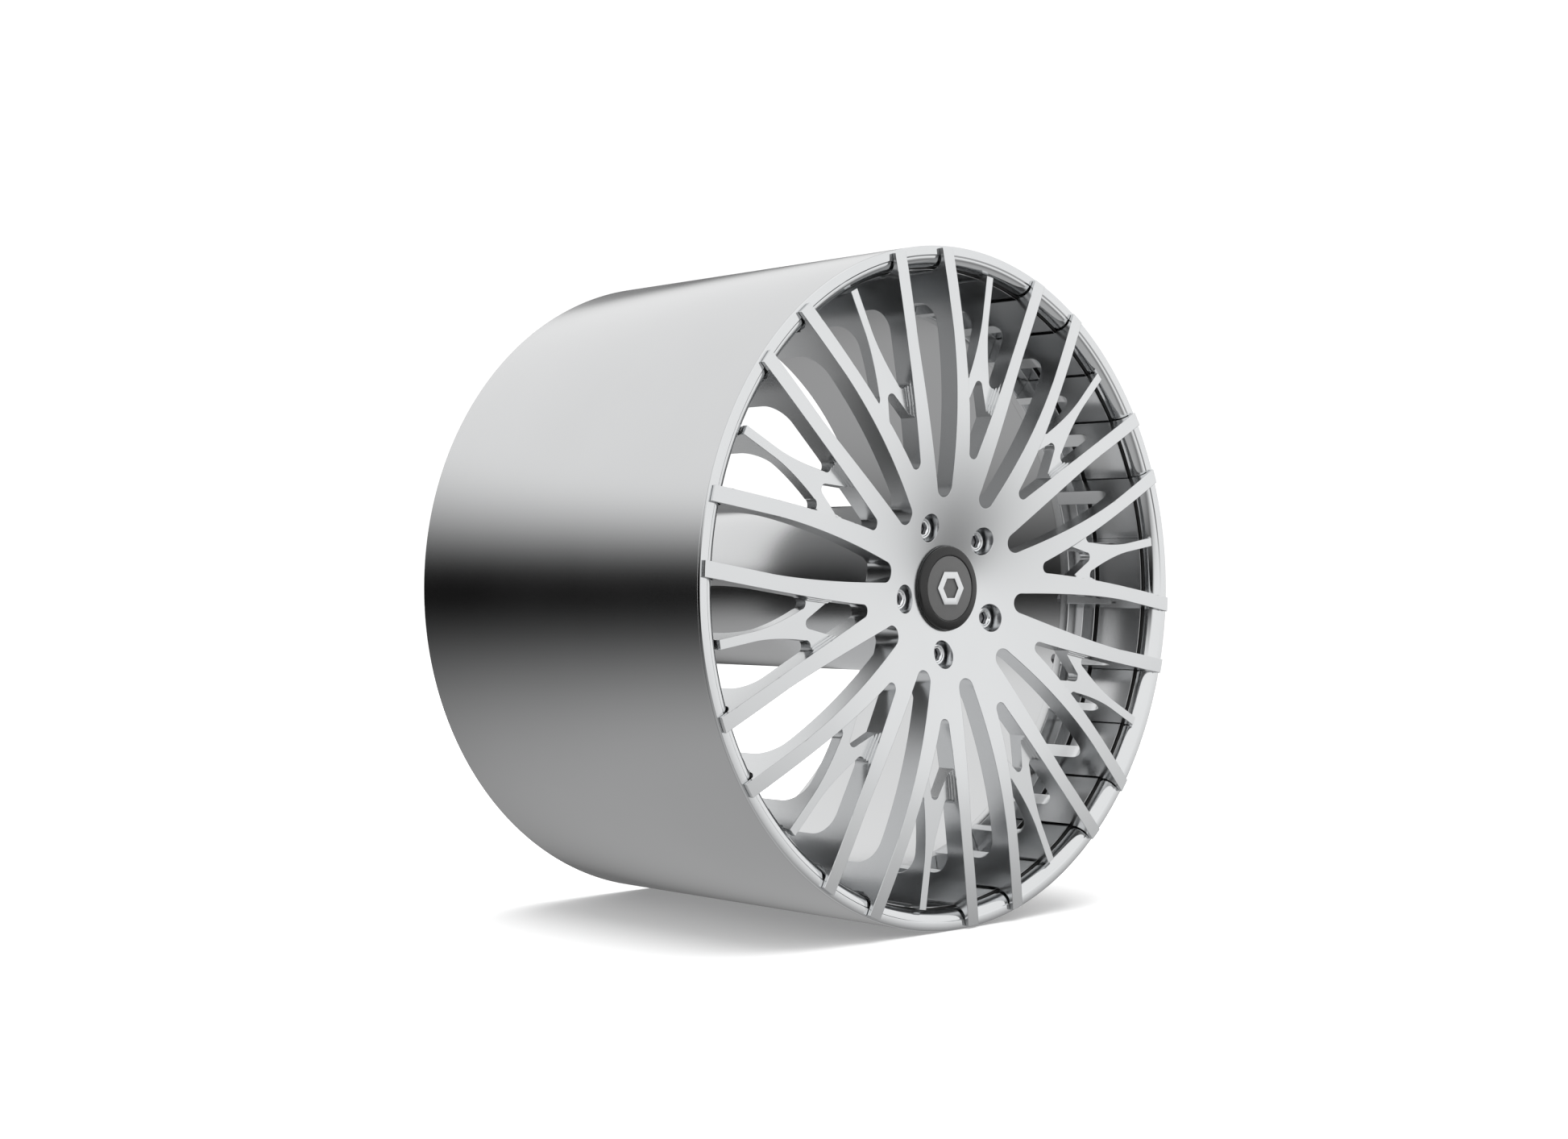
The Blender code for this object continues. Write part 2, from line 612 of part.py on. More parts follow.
def lug_angles():
    return [LUG_ANGLE + 360.0 * k / LUG_COUNT for k in range(LUG_COUNT)]


def hole_ring(radius, front, rear, first_angle):
    """Cutters for five holes on the bolt circle."""
    holes = bmesh.new()
    for k in range(LUG_COUNT):
        x, z = polar(BOLT_CIRCLE_RADIUS, first_angle + 360.0 * k / LUG_COUNT)
        hole = rod_profile(radius, front - HOLE_OVERRUN, rear + HOLE_OVERRUN)
        append(holes, turned_at(hole, SMALL_STEPS, x, z, False))
    return holes


def make_adapter(mat, ring_mat):
    """Hub adapter: a tube with a front plate for the studs and a rear plate for the vehicle."""
    front = HUB_BACK_STATION + FIT_GAP
    rear = ADAPTER_REAR_STATION
    tube = [
        (ADAPTER_CAVITY, front), (ADAPTER_RADIUS, front), (ADAPTER_RADIUS, rear - EDGE_BREAK),
        (ADAPTER_RADIUS - EDGE_BREAK, rear), (ADAPTER_CAVITY, rear),
    ]
    add_object("hub_tube", turned(tube, HUB_STEPS), mat)
    plate = ADAPTER_CAVITY - FIT_GAP
    between = LUG_ANGLE + 180.0 / LUG_COUNT
    front_rear = front + ADAPTER_FRONT_PLATE
    section = ring_profile(ADAPTER_BORE, plate, front, front_rear)
    front_plate = add_object("hub_front_plate", turned(section, HUB_STEPS), mat)
    cut(front_plate, hole_ring(STUD_RADIUS + FIT_GAP, front, front_rear, LUG_ANGLE), "stud_holes")
    cut(front_plate, hole_ring(ACCESS_HOLE_RADIUS, front, front_rear, between), "access_holes")
    rear_front = rear - ADAPTER_REAR_PLATE
    section = ring_profile(ADAPTER_BORE, plate, rear_front, rear)
    rear_plate = add_object("hub_rear_plate", turned(section, HUB_STEPS), mat)
    cut(rear_plate, hole_ring(VEHICLE_HOLE_RADIUS, rear_front, rear, between), "vehicle_holes")
    pilot = ADAPTER_BORE - FIT_GAP
    ring = ring_profile(pilot - HUB_RING_WALL, pilot, rear - HUB_RING_LENGTH, rear - FIT_GAP)
    add_object("hub_ring", turned(ring, HUB_STEPS), ring_mat)


def make_studs_and_nuts(stud_mat, nut_mat, washer_mat):
    plate_rear = HUB_BACK_STATION + FIT_GAP + ADAPTER_FRONT_PLATE
    head = plate_rear + FIT_GAP
    stud = [
        (0, STUD_TIP_STATION), (STUD_RADIUS - STUD_CHAMFER, STUD_TIP_STATION),
        (STUD_RADIUS, STUD_TIP_STATION + STUD_CHAMFER), (STUD_RADIUS, head),
        (STUD_HEAD_RADIUS, head), (STUD_HEAD_RADIUS, head + STUD_HEAD_HEIGHT),
        (0, head + STUD_HEAD_HEIGHT),
    ]
    seat = LUG_SEAT_STATION - FIT_GAP
    washer_front = seat - WASHER_THICKNESS
    washer_bore = NUT_SHANK_RADIUS + SHANK_CLEARANCE
    washer = ring_profile(washer_bore, WASHER_RADIUS, washer_front, seat)
    thread = (STUD_RADIUS + THREAD_CLEARANCE) / cos(pi / NUT_STEPS)
    nut_rear = washer_front - FIT_GAP
    shank_rear = nut_rear + NUT_SHANK_LENGTH
    step = NUT_TOP_STATION + NUT_STEP_DROP
    nut = [
        (NUT_DRIVE_RADIUS, step), (NUT_STEP_RADIUS, step),
        (NUT_RADIUS - NUT_SHOULDER, NUT_TOP_STATION), (NUT_RADIUS, NUT_TOP_STATION + NUT_SHOULDER),
        (NUT_RADIUS, nut_rear), (NUT_SHANK_RADIUS, nut_rear), (NUT_SHANK_RADIUS, shank_rear),
        (thread, shank_rear), (thread, STUD_TIP_STATION - FIT_GAP),
        (NUT_DRIVE_RADIUS, STUD_TIP_STATION - FIT_GAP - NUT_STEP_DROP),
    ]
    for k, angle in enumerate(lug_angles()):
        x, z = polar(BOLT_CIRCLE_RADIUS, angle)
        label = str(k + 1)
        add_object("wheel_stud_" + label, turned_at(stud, SMALL_STEPS, x, z, False), stud_mat)
        add_object("lug_washer_" + label, turned_at(washer, NUT_STEPS, x, z), washer_mat)
        add_object("lug_nut_" + label, turned_at(nut, NUT_STEPS, x, z), nut_mat)


# ================================================================ centre cap

def make_cap(body_mat, bezel_mat, face_mat, emblem_mat, clip_mat):
    front = CAP_FRONT_STATION
    face_front = front + CAP_FACE_SINK
    edge = front + CAP_BEVEL_DROP
    bezel_rear = edge + CAP_RIM_THICKNESS / 2
    bezel = [
        (CAP_FACE_RADIUS, face_front), (CAP_FACE_RADIUS + CAP_FACE_EDGE, front),
        (CAP_RADIUS - CAP_BEVEL_EDGE, edge - CAP_FACE_SINK), (CAP_RADIUS, edge + CAP_FACE_SINK),
        (CAP_RADIUS, bezel_rear), (CAP_FACE_RADIUS, bezel_rear),
    ]
    add_object("cap_bezel", turned(bezel, HUB_STEPS), bezel_mat)
    face_rear = face_front + CAP_FACE_THICKNESS
    face = rod_profile(CAP_FACE_RADIUS - FIT_GAP, face_front, face_rear)
    add_object("cap_face", turned(face, HUB_STEPS, False), face_mat)
    body_front = bezel_rear + FIT_GAP
    inner = CAP_SKIRT_RADIUS - CAP_SKIRT_WALL
    groove_front = CLIP_STATION - CLIP_WIRE_RADIUS - FIT_GAP
    groove_rear = CLIP_STATION + CLIP_WIRE_RADIUS + FIT_GAP
    groove_floor = CAP_SKIRT_RADIUS - 2 * CLIP_WIRE_RADIUS - FIT_GAP
    body = [
        (0, body_front), (CAP_RADIUS, body_front), (CAP_RADIUS, CAP_SEAT_STATION - FIT_GAP),
        (CAP_SKIRT_RADIUS, CAP_SEAT_STATION - FIT_GAP), (CAP_SKIRT_RADIUS, groove_front),
        (groove_floor, groove_front), (groove_floor, groove_rear), (CAP_SKIRT_RADIUS, groove_rear),
        (CAP_SKIRT_RADIUS, CAP_SKIRT_REAR), (inner, CAP_SKIRT_REAR),
        (inner, body_front + CAP_RIM_THICKNESS), (0, body_front + CAP_RIM_THICKNESS),
    ]
    add_object("cap_body", turned(body, HUB_STEPS, False), body_mat)
    centre = CAP_SKIRT_RADIUS - CLIP_WIRE_RADIUS
    wire = arc(centre, CLIP_STATION, CLIP_WIRE_RADIUS, 0, 270, 3)
    add_object("cap_clip_ring", turned(wire, HUB_STEPS), clip_mat)
    emblem_rear = face_front - FIT_GAP
    emblem = ring_profile(EMBLEM_BORE, EMBLEM_RADIUS, emblem_rear - EMBLEM_THICKNESS, emblem_rear)
    add_object("cap_emblem", turned(emblem, EMBLEM_SIDES), emblem_mat)


# ================================================================ tyre valve

def valve_frame():
    """Turns a shape made about the Y axis so that it points from the barrel to the axis.

    The shape's own +Y runs inwards, and its origin is where the valve's line meets
    the liner's bore.
    """
    a = radians(VALVE_ANGLE)
    out = Vector((cos(a), 0, sin(a)))
    along = Vector((0, 1, 0))
    side = (-out).cross(along)
    turn = Matrix((side, -out, along)).transposed().to_4x4()
    place = out * LINER_BORE + along * y_of(VALVE_STATION)
    return Matrix.Translation(place) @ turn


def valve_turned(profile, closed=True, steps=SMALL_STEPS):
    """Turn (radius, distance inwards) about the valve's line."""
    bm = turned([(r, d + MID_STATION) for r, d in profile], steps, closed)
    bmesh.ops.transform(bm, matrix=valve_frame(), verts=bm.verts)
    return bm


def valve_hole(head_radius):
    """The stem's hole, with a pocket for its head outside the barrel."""
    wall = FLANGE_RADIUS - LINER_BORE
    pocket_floor = VALVE_HEAD_POCKET - wall
    outside = -wall - HOLE_OVERRUN
    profile = [
        (0, HOLE_OVERRUN), (VALVE_HOLE_RADIUS, HOLE_OVERRUN), (VALVE_HOLE_RADIUS, pocket_floor),
        (head_radius, pocket_floor), (head_radius, outside), (0, outside),
    ]
    return valve_turned(profile, False)


def make_valve(stem_mat, rubber_mat, nut_mat, cap_mat, pin_mat):
    wall = FLANGE_RADIUS - LINER_BORE
    seat = VALVE_HEAD_POCKET - wall - FIT_GAP
    grommet_rear = seat - VALVE_GROMMET_LIP
    head_front = grommet_rear - FIT_GAP
    head_rear = head_front - VALVE_HEAD_THICKNESS
    head = VALVE_HEAD_RADIUS - VALVE_HEAD_CLEARANCE
    tip = VALVE_STEM_LENGTH
    pin_floor = tip - VALVE_BORE_DEPTH
    stem = [
        (0, head_rear), (head, head_rear), (head, head_front), (VALVE_STEM_RADIUS, head_front),
        (VALVE_STEM_RADIUS, tip), (VALVE_BORE_RADIUS, tip), (VALVE_BORE_RADIUS, pin_floor),
        (0, pin_floor),
    ]
    add_object("valve_stem", valve_turned(stem, False), stem_mat)
    around_stem = VALVE_STEM_RADIUS + FIT_GAP
    grommet = [
        (around_stem, grommet_rear), (head, grommet_rear), (head, seat),
        (VALVE_HOLE_RADIUS - FIT_GAP, seat), (VALVE_HOLE_RADIUS - FIT_GAP, -VALVE_GROMMET_SHORT),
        (around_stem, -VALVE_GROMMET_SHORT),
    ]
    add_object("valve_grommet", valve_turned(grommet), rubber_mat)
    nut_rear = VALVE_NUT_START + VALVE_NUT_THICKNESS
    nut_bore = around_stem / cos(pi / VALVE_NUT_SIDES)
    nut = ring_profile(nut_bore, VALVE_NUT_RADIUS, VALVE_NUT_START, nut_rear)
    add_object("valve_nut", valve_turned(nut, True, VALVE_NUT_SIDES), nut_mat)
    pin = rod_profile(VALVE_PIN_RADIUS, pin_floor + VALVE_PIN_STAND, tip - VALVE_PIN_INSET)
    add_object("valve_pin", valve_turned(pin, False), pin_mat)
    cap_start = tip - VALVE_CAP_LENGTH + VALVE_CAP_WALL + VALVE_CAP_HEADROOM
    cap_inner = around_stem
    cap_end = cap_start + VALVE_CAP_LENGTH
    cap = [
        (0, cap_end), (cap_inner + VALVE_CAP_WALL, cap_end),
        (cap_inner + VALVE_CAP_WALL, cap_start), (cap_inner, cap_start),
        (cap_inner, cap_end - VALVE_CAP_WALL), (0, cap_end - VALVE_CAP_WALL),
    ]
    add_object("valve_cap", valve_turned(cap, False), cap_mat)


def main():
    clear_scene()
    polished = make_material("polished_forging", (0.80, 0.81, 0.82), 1.0, 0.16)
    barrel_metal = make_material("brushed_barrel", (0.70, 0.71, 0.72), 1.0, 0.22)
    chrome = make_material("chrome", (0.90, 0.90, 0.91), 1.0, 0.05)
    steel = make_material("zinc_steel", (0.55, 0.56, 0.58), 1.0, 0.35)
    rubber = make_material("seal_rubber", (0.01, 0.01, 0.01), 0.0, 0.60)
    gloss_black = make_material("gloss_black", (0.02, 0.02, 0.022), 0.0, 0.12)
    grey = make_material("cap_grey", (0.11, 0.11, 0.115), 0.0, 0.35)
    plastic = make_material("black_plastic", (0.03, 0.03, 0.03), 0.0, 0.50)
    brass = make_material("valve_brass", (0.72, 0.55, 0.25), 1.0, 0.30)
    make_barrel(barrel_metal)
    make_barrel_flange(barrel_metal)
    make_lip(polished)
    make_front_rings(barrel_metal, rubber)
    make_disc(polished)
    make_bolts(steel)
    make_adapter(barrel_metal, plastic)
    make_studs_and_nuts(steel, chrome, chrome)
    make_cap(plastic, gloss_black, grey, polished, steel)
    make_valve(chrome, rubber, chrome, plastic, brass)


main()
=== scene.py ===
from math import atan2, cos, degrees, hypot, pi, radians, sin, tan

import bmesh
import bpy
from mathutils import Matrix, Vector


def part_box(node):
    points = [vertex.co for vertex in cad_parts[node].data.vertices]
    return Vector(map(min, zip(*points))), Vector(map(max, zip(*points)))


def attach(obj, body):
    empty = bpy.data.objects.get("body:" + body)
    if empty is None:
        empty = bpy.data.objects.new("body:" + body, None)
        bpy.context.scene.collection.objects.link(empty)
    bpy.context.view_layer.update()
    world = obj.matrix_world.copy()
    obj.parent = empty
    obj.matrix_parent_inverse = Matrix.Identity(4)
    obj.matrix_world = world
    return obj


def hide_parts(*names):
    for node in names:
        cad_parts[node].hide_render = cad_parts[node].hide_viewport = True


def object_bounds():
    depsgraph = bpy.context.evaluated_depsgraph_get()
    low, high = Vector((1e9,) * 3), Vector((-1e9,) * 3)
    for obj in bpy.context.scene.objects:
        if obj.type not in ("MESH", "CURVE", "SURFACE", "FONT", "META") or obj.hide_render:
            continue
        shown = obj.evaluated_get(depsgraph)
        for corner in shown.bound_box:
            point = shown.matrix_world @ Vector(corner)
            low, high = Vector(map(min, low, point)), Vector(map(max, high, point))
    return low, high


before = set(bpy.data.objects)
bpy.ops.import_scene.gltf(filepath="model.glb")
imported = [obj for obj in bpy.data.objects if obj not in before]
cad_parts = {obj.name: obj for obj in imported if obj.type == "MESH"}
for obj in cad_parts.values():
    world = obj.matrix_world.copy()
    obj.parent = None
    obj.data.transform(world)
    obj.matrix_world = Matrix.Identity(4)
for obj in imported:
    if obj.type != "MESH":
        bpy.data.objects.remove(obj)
CAD_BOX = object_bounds()

# ---------------------------------------------------------------- sizes taken from the frame
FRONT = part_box("outer_lip")[0].y                      # front plane of the flange


def stations(name):
    """Front and rear of a CAD node, measured back from that plane."""
    return [p.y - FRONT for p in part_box(name)]


REAR = stations("barrel")[1]
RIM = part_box("barrel")[1].x
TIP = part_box("centre_disc")[1].z
CROWN, DISC_REAR = stations("centre_disc")
LIP_REAR = stations("outer_lip")[1]
SEAL_1, SEAL_2 = stations("lip_seal"), stations("barrel_seal")
LINER = stations("barrel_liner")
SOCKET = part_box("barrel_liner")[1].x
HUB = stations("hub_tube")
HUB_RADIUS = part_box("hub_tube")[1].x
CAP_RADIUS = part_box("cap_bezel")[1].x
CAP_FRONT, BEZEL_REAR = stations("cap_bezel")
CAP_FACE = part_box("cap_face")[1].x
NUT, WASHER = stations("lug_nut_1"), stations("lug_washer_1")
STUD = stations("wheel_stud_1")
BOLT = stations("assembly_bolt_01")

# ---------------------------------------------------------------- the maker's own sizes
MM = 0.001
GAP = 0.3 * MM
PAIRS = 10
PAIR_ANGLE, FORK_ANGLE = 27.0, 9.0
BOLT_CIRCLE = 63.5 * MM
LUG_ANGLES = [45.0 + 72.0 * k for k in range(5)]
HUB_FACE = 9.0 * MM
CROWN_RADIUS = 215.0 * MM
TIP_FACE = -4.0 * MM
WEB = 20.5 * MM
FOOT_GAP, TIP_GAP = 2.0 * MM, 0.5 * MM
LIP_BORE, LIP_THROAT, LIP_STEP = 314.0 * MM, 303.0 * MM, 1.0 * MM
LINER_BORE, BARREL_BORE = 301.0 * MM, 300.0 * MM
FOOT_BORE, FOOT_FILLET = 271.5 * MM, 22.0 * MM
FORK_FACE = 0.7 * MM
CENTRE_BORE, CAP_SEAT, HUB_PAD = 36.5 * MM, 14.7 * MM, 83.0 * MM
NUT_POCKET, NUT_SEAT, SHANK_HOLE = 13.3 * MM, 27.5 * MM, 9.9 * MM
BOLT_HOLE = 4.3 * MM
FLANGE_BORE, FLANGE_THICKNESS = 275.0 * MM, 12.0 * MM
ADAPTER_BORE, ADAPTER_WALL = 39.15 * MM, 7.0 * MM
STUD_RADIUS, STUD_PITCH = 7.0 * MM, 1.5 * MM
VALVE_ANGLE, VALVE_STATION = 315.0, 45.0 * MM
VALVE_WALL = RIM - LINER_BORE    # what the valve passes through
VALVE_SEAT = 7.2 * MM - VALVE_WALL
VALVE_HOLE, VALVE_COUNTERBORE = 5.8 * MM, 8.3 * MM
OVERSHOOT = 10.0 * MM            # how far a cutter runs past the centre
DRILL = 2.0 * MM                 # how far a drill runs past a plate
STEPS = 240                      # facets round the big rings
HUB_STEPS = 144                  # round the hub and the cap
NUT_STEPS, WASHER_STEPS, HOLE_STEPS, BOLT_STEPS = 96, 48, 32, 16
SLIVER = 0.02 * MM               # edges shorter than this are left over from a cut
CLEAR = 0.06 * MM                # between a cutter and a wall that it would otherwise share


def y_of(station):
    return FRONT + station


# ================================================================ mesh helpers

def rounded(points, radius, steps=3, closed=True):
    """Round every corner of a section with a short curve."""
    out = []
    count = len(points)
    for i, p in enumerate(points):
        here = Vector(p)
        if not closed and i in (0, count - 1):
            out.append(p)
            continue
        before = Vector(points[i - 1]) - here
        after = Vector(points[(i + 1) % count]) - here
        turn = before.angle(-after)
        if turn < radians(20):
            out.append(p)
            continue
        reach = min(radius * tan(turn / 2), before.length * 0.45, after.length * 0.45)
        a = here + before.normalized() * reach
        b = here + after.normalized() * reach
        for k in range(steps + 1):
            u = k / steps
            q = a * (1 - u) ** 2 + here * 2 * u * (1 - u) + b * u ** 2
            out.append((q.x, q.y))
    return out


def spun(section, steps=STEPS, closed=True, x=0.0, z=0.0):
    """Turn a section of (radius, station) points about the wheel's axis, or one beside it."""
    bm = bmesh.new()
    verts = [bm.verts.new((r, y_of(s), 0.0)) for r, s in section]
    pairs = list(zip(verts, verts[1:]))
    if closed:
        pairs.append((verts[-1], verts[0]))
    edges = [bm.edges.new(pair) for pair in pairs]
    bmesh.ops.spin(bm, geom=verts + edges, cent=(0, 0, 0), axis=(0, 1, 0),
                   angle=2 * pi, steps=steps, use_merge=True)
    tidy(bm)
    bmesh.ops.translate(bm, verts=bm.verts, vec=(x, 0, z))
    return bm


def tidy(bm):
    bmesh.ops.remove_doubles(bm, verts=bm.verts, dist=1e-6)
    bmesh.ops.recalc_face_normals(bm, faces=bm.faces)


def box_ring(inner, outer, front, rear):
    return [(inner, front), (outer, front), (outer, rear), (inner, rear)]


def rod(radius, front, rear):
    return [(0, front), (radius, front), (radius, rear), (0, rear)]


def prism(bm, outline, front, rear, angle):
    """Add an outline of (out, across) points, extruded between two stations."""
    turn = Matrix.Rotation(-radians(angle), 4, "Y")
    verts = [bm.verts.new(turn @ Vector((u, y_of(front), v))) for u, v in outline]
    face = bm.faces.new(verts)
    made = bmesh.ops.extrude_face_region(bm, geom=[face])
    moved = [g for g in made["geom"] if isinstance(g, bmesh.types.BMVert)]
    bmesh.ops.translate(bm, verts=moved, vec=(0, rear - front, 0))


def join(target, source):
    mesh = bpy.data.meshes.new("scratch")
    source.to_mesh(mesh)
    source.free()
    target.from_mesh(mesh)
    bpy.data.meshes.remove(mesh)


def scratch_object(bm):
    mesh = bpy.data.meshes.new("scratch")
    bm.to_mesh(mesh)
    bm.free()
    obj = bpy.data.objects.new("scratch", mesh)
    bpy.context.scene.collection.objects.link(obj)
    return obj


def carved(bm, cutter):
    """The first mesh less the second."""
    bmesh.ops.recalc_face_normals(cutter, faces=cutter.faces)
    body, tool = scratch_object(bm), scratch_object(cutter)
    modifier = body.modifiers.new("cut", "BOOLEAN")
    modifier.operation = "DIFFERENCE"
    modifier.solver = "EXACT"
    modifier.object = tool
    result = body.evaluated_get(bpy.context.evaluated_depsgraph_get()).to_mesh()
    out = bmesh.new()
    out.from_mesh(result)
    for obj in (body, tool):
        mesh = obj.data
        bpy.data.objects.remove(obj)
        bpy.data.meshes.remove(mesh)
    bmesh.ops.remove_doubles(out, verts=out.verts, dist=2e-6)
    bmesh.ops.dissolve_degenerate(out, edges=out.edges, dist=2e-6)
    return out


def break_edges(bm, width, angle=40.0, segments=2):
    """A small rounding on every crisp edge, once the slivers that cuts leave are welded."""
    bmesh.ops.remove_doubles(bm, verts=bm.verts, dist=SLIVER)
    bmesh.ops.dissolve_degenerate(bm, edges=bm.edges, dist=SLIVER / 2)
    sharp = [e for e in bm.edges if e.is_manifold and e.calc_face_angle(0) > radians(angle)]
    bmesh.ops.bevel(bm, geom=sharp, affect="EDGES", offset=width, offset_type="OFFSET",
                    segments=segments, profile=0.5, material=-1, clamp_overlap=False)


def piece(name, bm, mat, slot, body, *nodes, angle=35.0):
    """Finish a mesh as a piece that stands for its CAD nodes."""
    mesh = bpy.data.meshes.new(name)
    bm.to_mesh(mesh)
    bm.free()
    mesh.shade_smooth()
    mesh.set_sharp_from_angle(angle=radians(angle))
    mesh.materials.append(mat)
    obj = bpy.data.objects.new(name, mesh)
    bpy.context.scene.collection.objects.link(obj)
    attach(obj, body)
    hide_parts(*nodes)
    return obj


def arc(cu, cv, radius, start, end, steps):
    return [(cu + radius * cos(radians(start + (end - start) * i / steps)),
             cv + radius * sin(radians(start + (end - start) * i / steps)))
            for i in range(steps + 1)]


def spaced(start, end, count):
    return [start + (end - start) * i / count for i in range(count + 1)]


def polar(radius, angle):
    return radius * cos(radians(angle)), radius * sin(radians(angle))


# ================================================================ materials

def new_material(name, colour, metallic, roughness):
    mat = bpy.data.materials.new(name)
    mat.use_nodes = True
    nodes, links = mat.node_tree.nodes, mat.node_tree.links
    shader = nodes["Principled BSDF"]
    shader.inputs["Base Color"].default_value = (*colour, 1.0)
    shader.inputs["Metallic"].default_value = metallic
    shader.inputs["Roughness"].default_value = roughness
    return mat, nodes, links, shader


def mapped(nodes, links, source, low, high):
    ramp = nodes.new("ShaderNodeMapRange")
    ramp.inputs["To Min"].default_value = low
    ramp.inputs["To Max"].default_value = high
    links.new(source, ramp.inputs["Value"])
    return ramp.outputs["Result"]


def tinted(nodes, links, source, dark, light):
    mix = nodes.new("ShaderNodeMix")
    mix.data_type = "RGBA"
    mix.inputs["A"].default_value = (*dark, 1.0)
    mix.inputs["B"].default_value = (*light, 1.0)
    links.new(source, mix.inputs["Factor"])
    return mix.outputs["Result"]


def noise(nodes, links, vector, scale, detail=3.0):
    tex = nodes.new("ShaderNodeTexNoise")
    tex.inputs["Scale"].default_value = scale
    tex.inputs["Detail"].default_value = detail
    links.new(vector, tex.inputs["Vector"])
    return tex.outputs["Fac"]


def bump(nodes, links, shader, height, distance):
    made = nodes.new("ShaderNodeBump")
    made.inputs["Distance"].default_value = distance
    made.inputs["Strength"].default_value = 1.0
    links.new(height, made.inputs["Height"])
    links.new(made.outputs["Normal"], shader.inputs["Normal"])


def clouded(nodes, links, shader, cloud, tones, rough):
    """Tone and roughness that drift with a cloudy pattern."""
    links.new(tinted(nodes, links, cloud, *tones), shader.inputs["Base Color"])
    links.new(mapped(nodes, links, cloud, *rough), shader.inputs["Roughness"])


def grained_metal(name, dark, light, rough_low, rough_high, grain=900.0, depth=0.000004):
    """Polished or satin metal: a cloudy sheen, a fine grain and a slight change of tone."""
    mat, nodes, links, shader = new_material(name, light, 1.0, rough_low)
    place = nodes.new("ShaderNodeTexCoord").outputs["Object"]
    cloud = noise(nodes, links, place, 9.0)
    fine = noise(nodes, links, place, grain, 2.0)
    clouded(nodes, links, shader, cloud, (dark, light), (rough_low, rough_high))
    bump(nodes, links, shader, fine, depth)
    return mat


def turned_metal(name, dark, light, rough_low, rough_high, pitch=2200.0, depth=0.000002):
    """Metal finished on a lathe: fine rings about the wheel's axis under a cloudy sheen."""
    mat, nodes, links, shader = new_material(name, light, 1.0, rough_low)
    place = nodes.new("ShaderNodeTexCoord").outputs["Object"]
    split = nodes.new("ShaderNodeSeparateXYZ")
    links.new(place, split.inputs["Vector"])
    flat = nodes.new("ShaderNodeCombineXYZ")
    links.new(split.outputs["X"], flat.inputs["X"])
    links.new(split.outputs["Z"], flat.inputs["Z"])
    radius = nodes.new("ShaderNodeVectorMath")
    radius.operation = "LENGTH"
    links.new(flat.outputs["Vector"], radius.inputs[0])
    rings = nodes.new("ShaderNodeCombineXYZ")
    links.new(radius.outputs["Value"], rings.inputs["X"])
    links.new(split.outputs["Y"], rings.inputs["Y"])
    lines = noise(nodes, links, rings.outputs["Vector"], pitch, 1.0)
    cloud = noise(nodes, links, place, 7.0)
    clouded(nodes, links, shader, cloud, (dark, light), (rough_low, rough_high))
    bump(nodes, links, shader, lines, depth)
    return mat


def moulded(name, dark, light, rough_low, rough_high, grain=1500.0, depth=0.00002):
    """Plastic or rubber with a moulded grain."""
    mat, nodes, links, shader = new_material(name, light, 0.0, rough_low)
    place = nodes.new("ShaderNodeTexCoord").outputs["Object"]
    fine = noise(nodes, links, place, grain, 2.0)
    cloud = noise(nodes, links, place, 40.0)
    clouded(nodes, links, shader, cloud, (dark, light), (rough_low, rough_high))
    bump(nodes, links, shader, fine, depth)
    return mat


def grey(value):
    return (value, value, value)


FORGED = grained_metal("polished forging", (0.68, 0.69, 0.70), (0.74, 0.75, 0.755), 0.20, 0.26)
LIP_METAL = turned_metal("polished lip", (0.68, 0.69, 0.70), (0.73, 0.74, 0.745), 0.10, 0.15)
BARREL_METAL = turned_metal("satin barrel", (0.60, 0.605, 0.61), (0.64, 0.645, 0.65), 0.17, 0.22)
HUB_METAL = turned_metal("machined hub", (0.60, 0.605, 0.61), (0.66, 0.665, 0.67), 0.18, 0.26)
CHROME = grained_metal("chrome plate", (0.80, 0.81, 0.82), (0.86, 0.87, 0.88), 0.04, 0.08)
# Zinc-plated steel. Its dark tone is partly the plating's own and partly painted shade: it is darkened so
# the stud ends at the floor of the nuts' drive sockets look shaded.
ZINC_WITH_SOCKET_SHADE = grained_metal("zinc plated steel with painted socket shade", (0.20, 0.20, 0.21), (0.27, 0.27, 0.28), 0.30, 0.42)
BRASS = grained_metal("valve brass", (0.62, 0.46, 0.20), (0.72, 0.55, 0.25), 0.25, 0.35)
RUBBER = moulded("seal rubber", grey(0.004), grey(0.008), 0.55, 0.70)
GLOSS_BLACK = moulded("gloss black", grey(0.003), grey(0.005), 0.06, 0.10, depth=0.000002)
CAP_GREY = moulded("satin cap grey", grey(0.070), grey(0.086), 0.30, 0.38, depth=0.000006)
BLACK_PLASTIC = moulded("black plastic", grey(0.018), grey(0.026), 0.42, 0.55)


# ================================================================ the centre

def face_station(r):
    """Front of the centre: a crowned spoke that runs into a dished hub."""
    if r >= CROWN_RADIUS:
        share = (r - CROWN_RADIUS) / (TIP - CROWN_RADIUS)
        return CROWN + (TIP_FACE - CROWN) * share * share
    share = (CROWN_RADIUS - r) / (CROWN_RADIUS - BOLT_CIRCLE)
    return CROWN + (HUB_FACE - CROWN) * share * share


def lip_curve(offset, steps):
    start = LIP_BORE - LIP_STEP
    drop, depth = start - LIP_THROAT, LIP_REAR - LIP_STEP
    points = []
    for i in range(steps + 1):
        a = radians(90.0 * i / steps)
        normal = Vector((sin(a) / drop, cos(a) / depth)).normalized()
        r = start - drop * sin(a) - offset * normal.x
        s = LIP_STEP + depth * (1 - cos(a)) - offset * normal.y
        points.append((r, s))
    return points


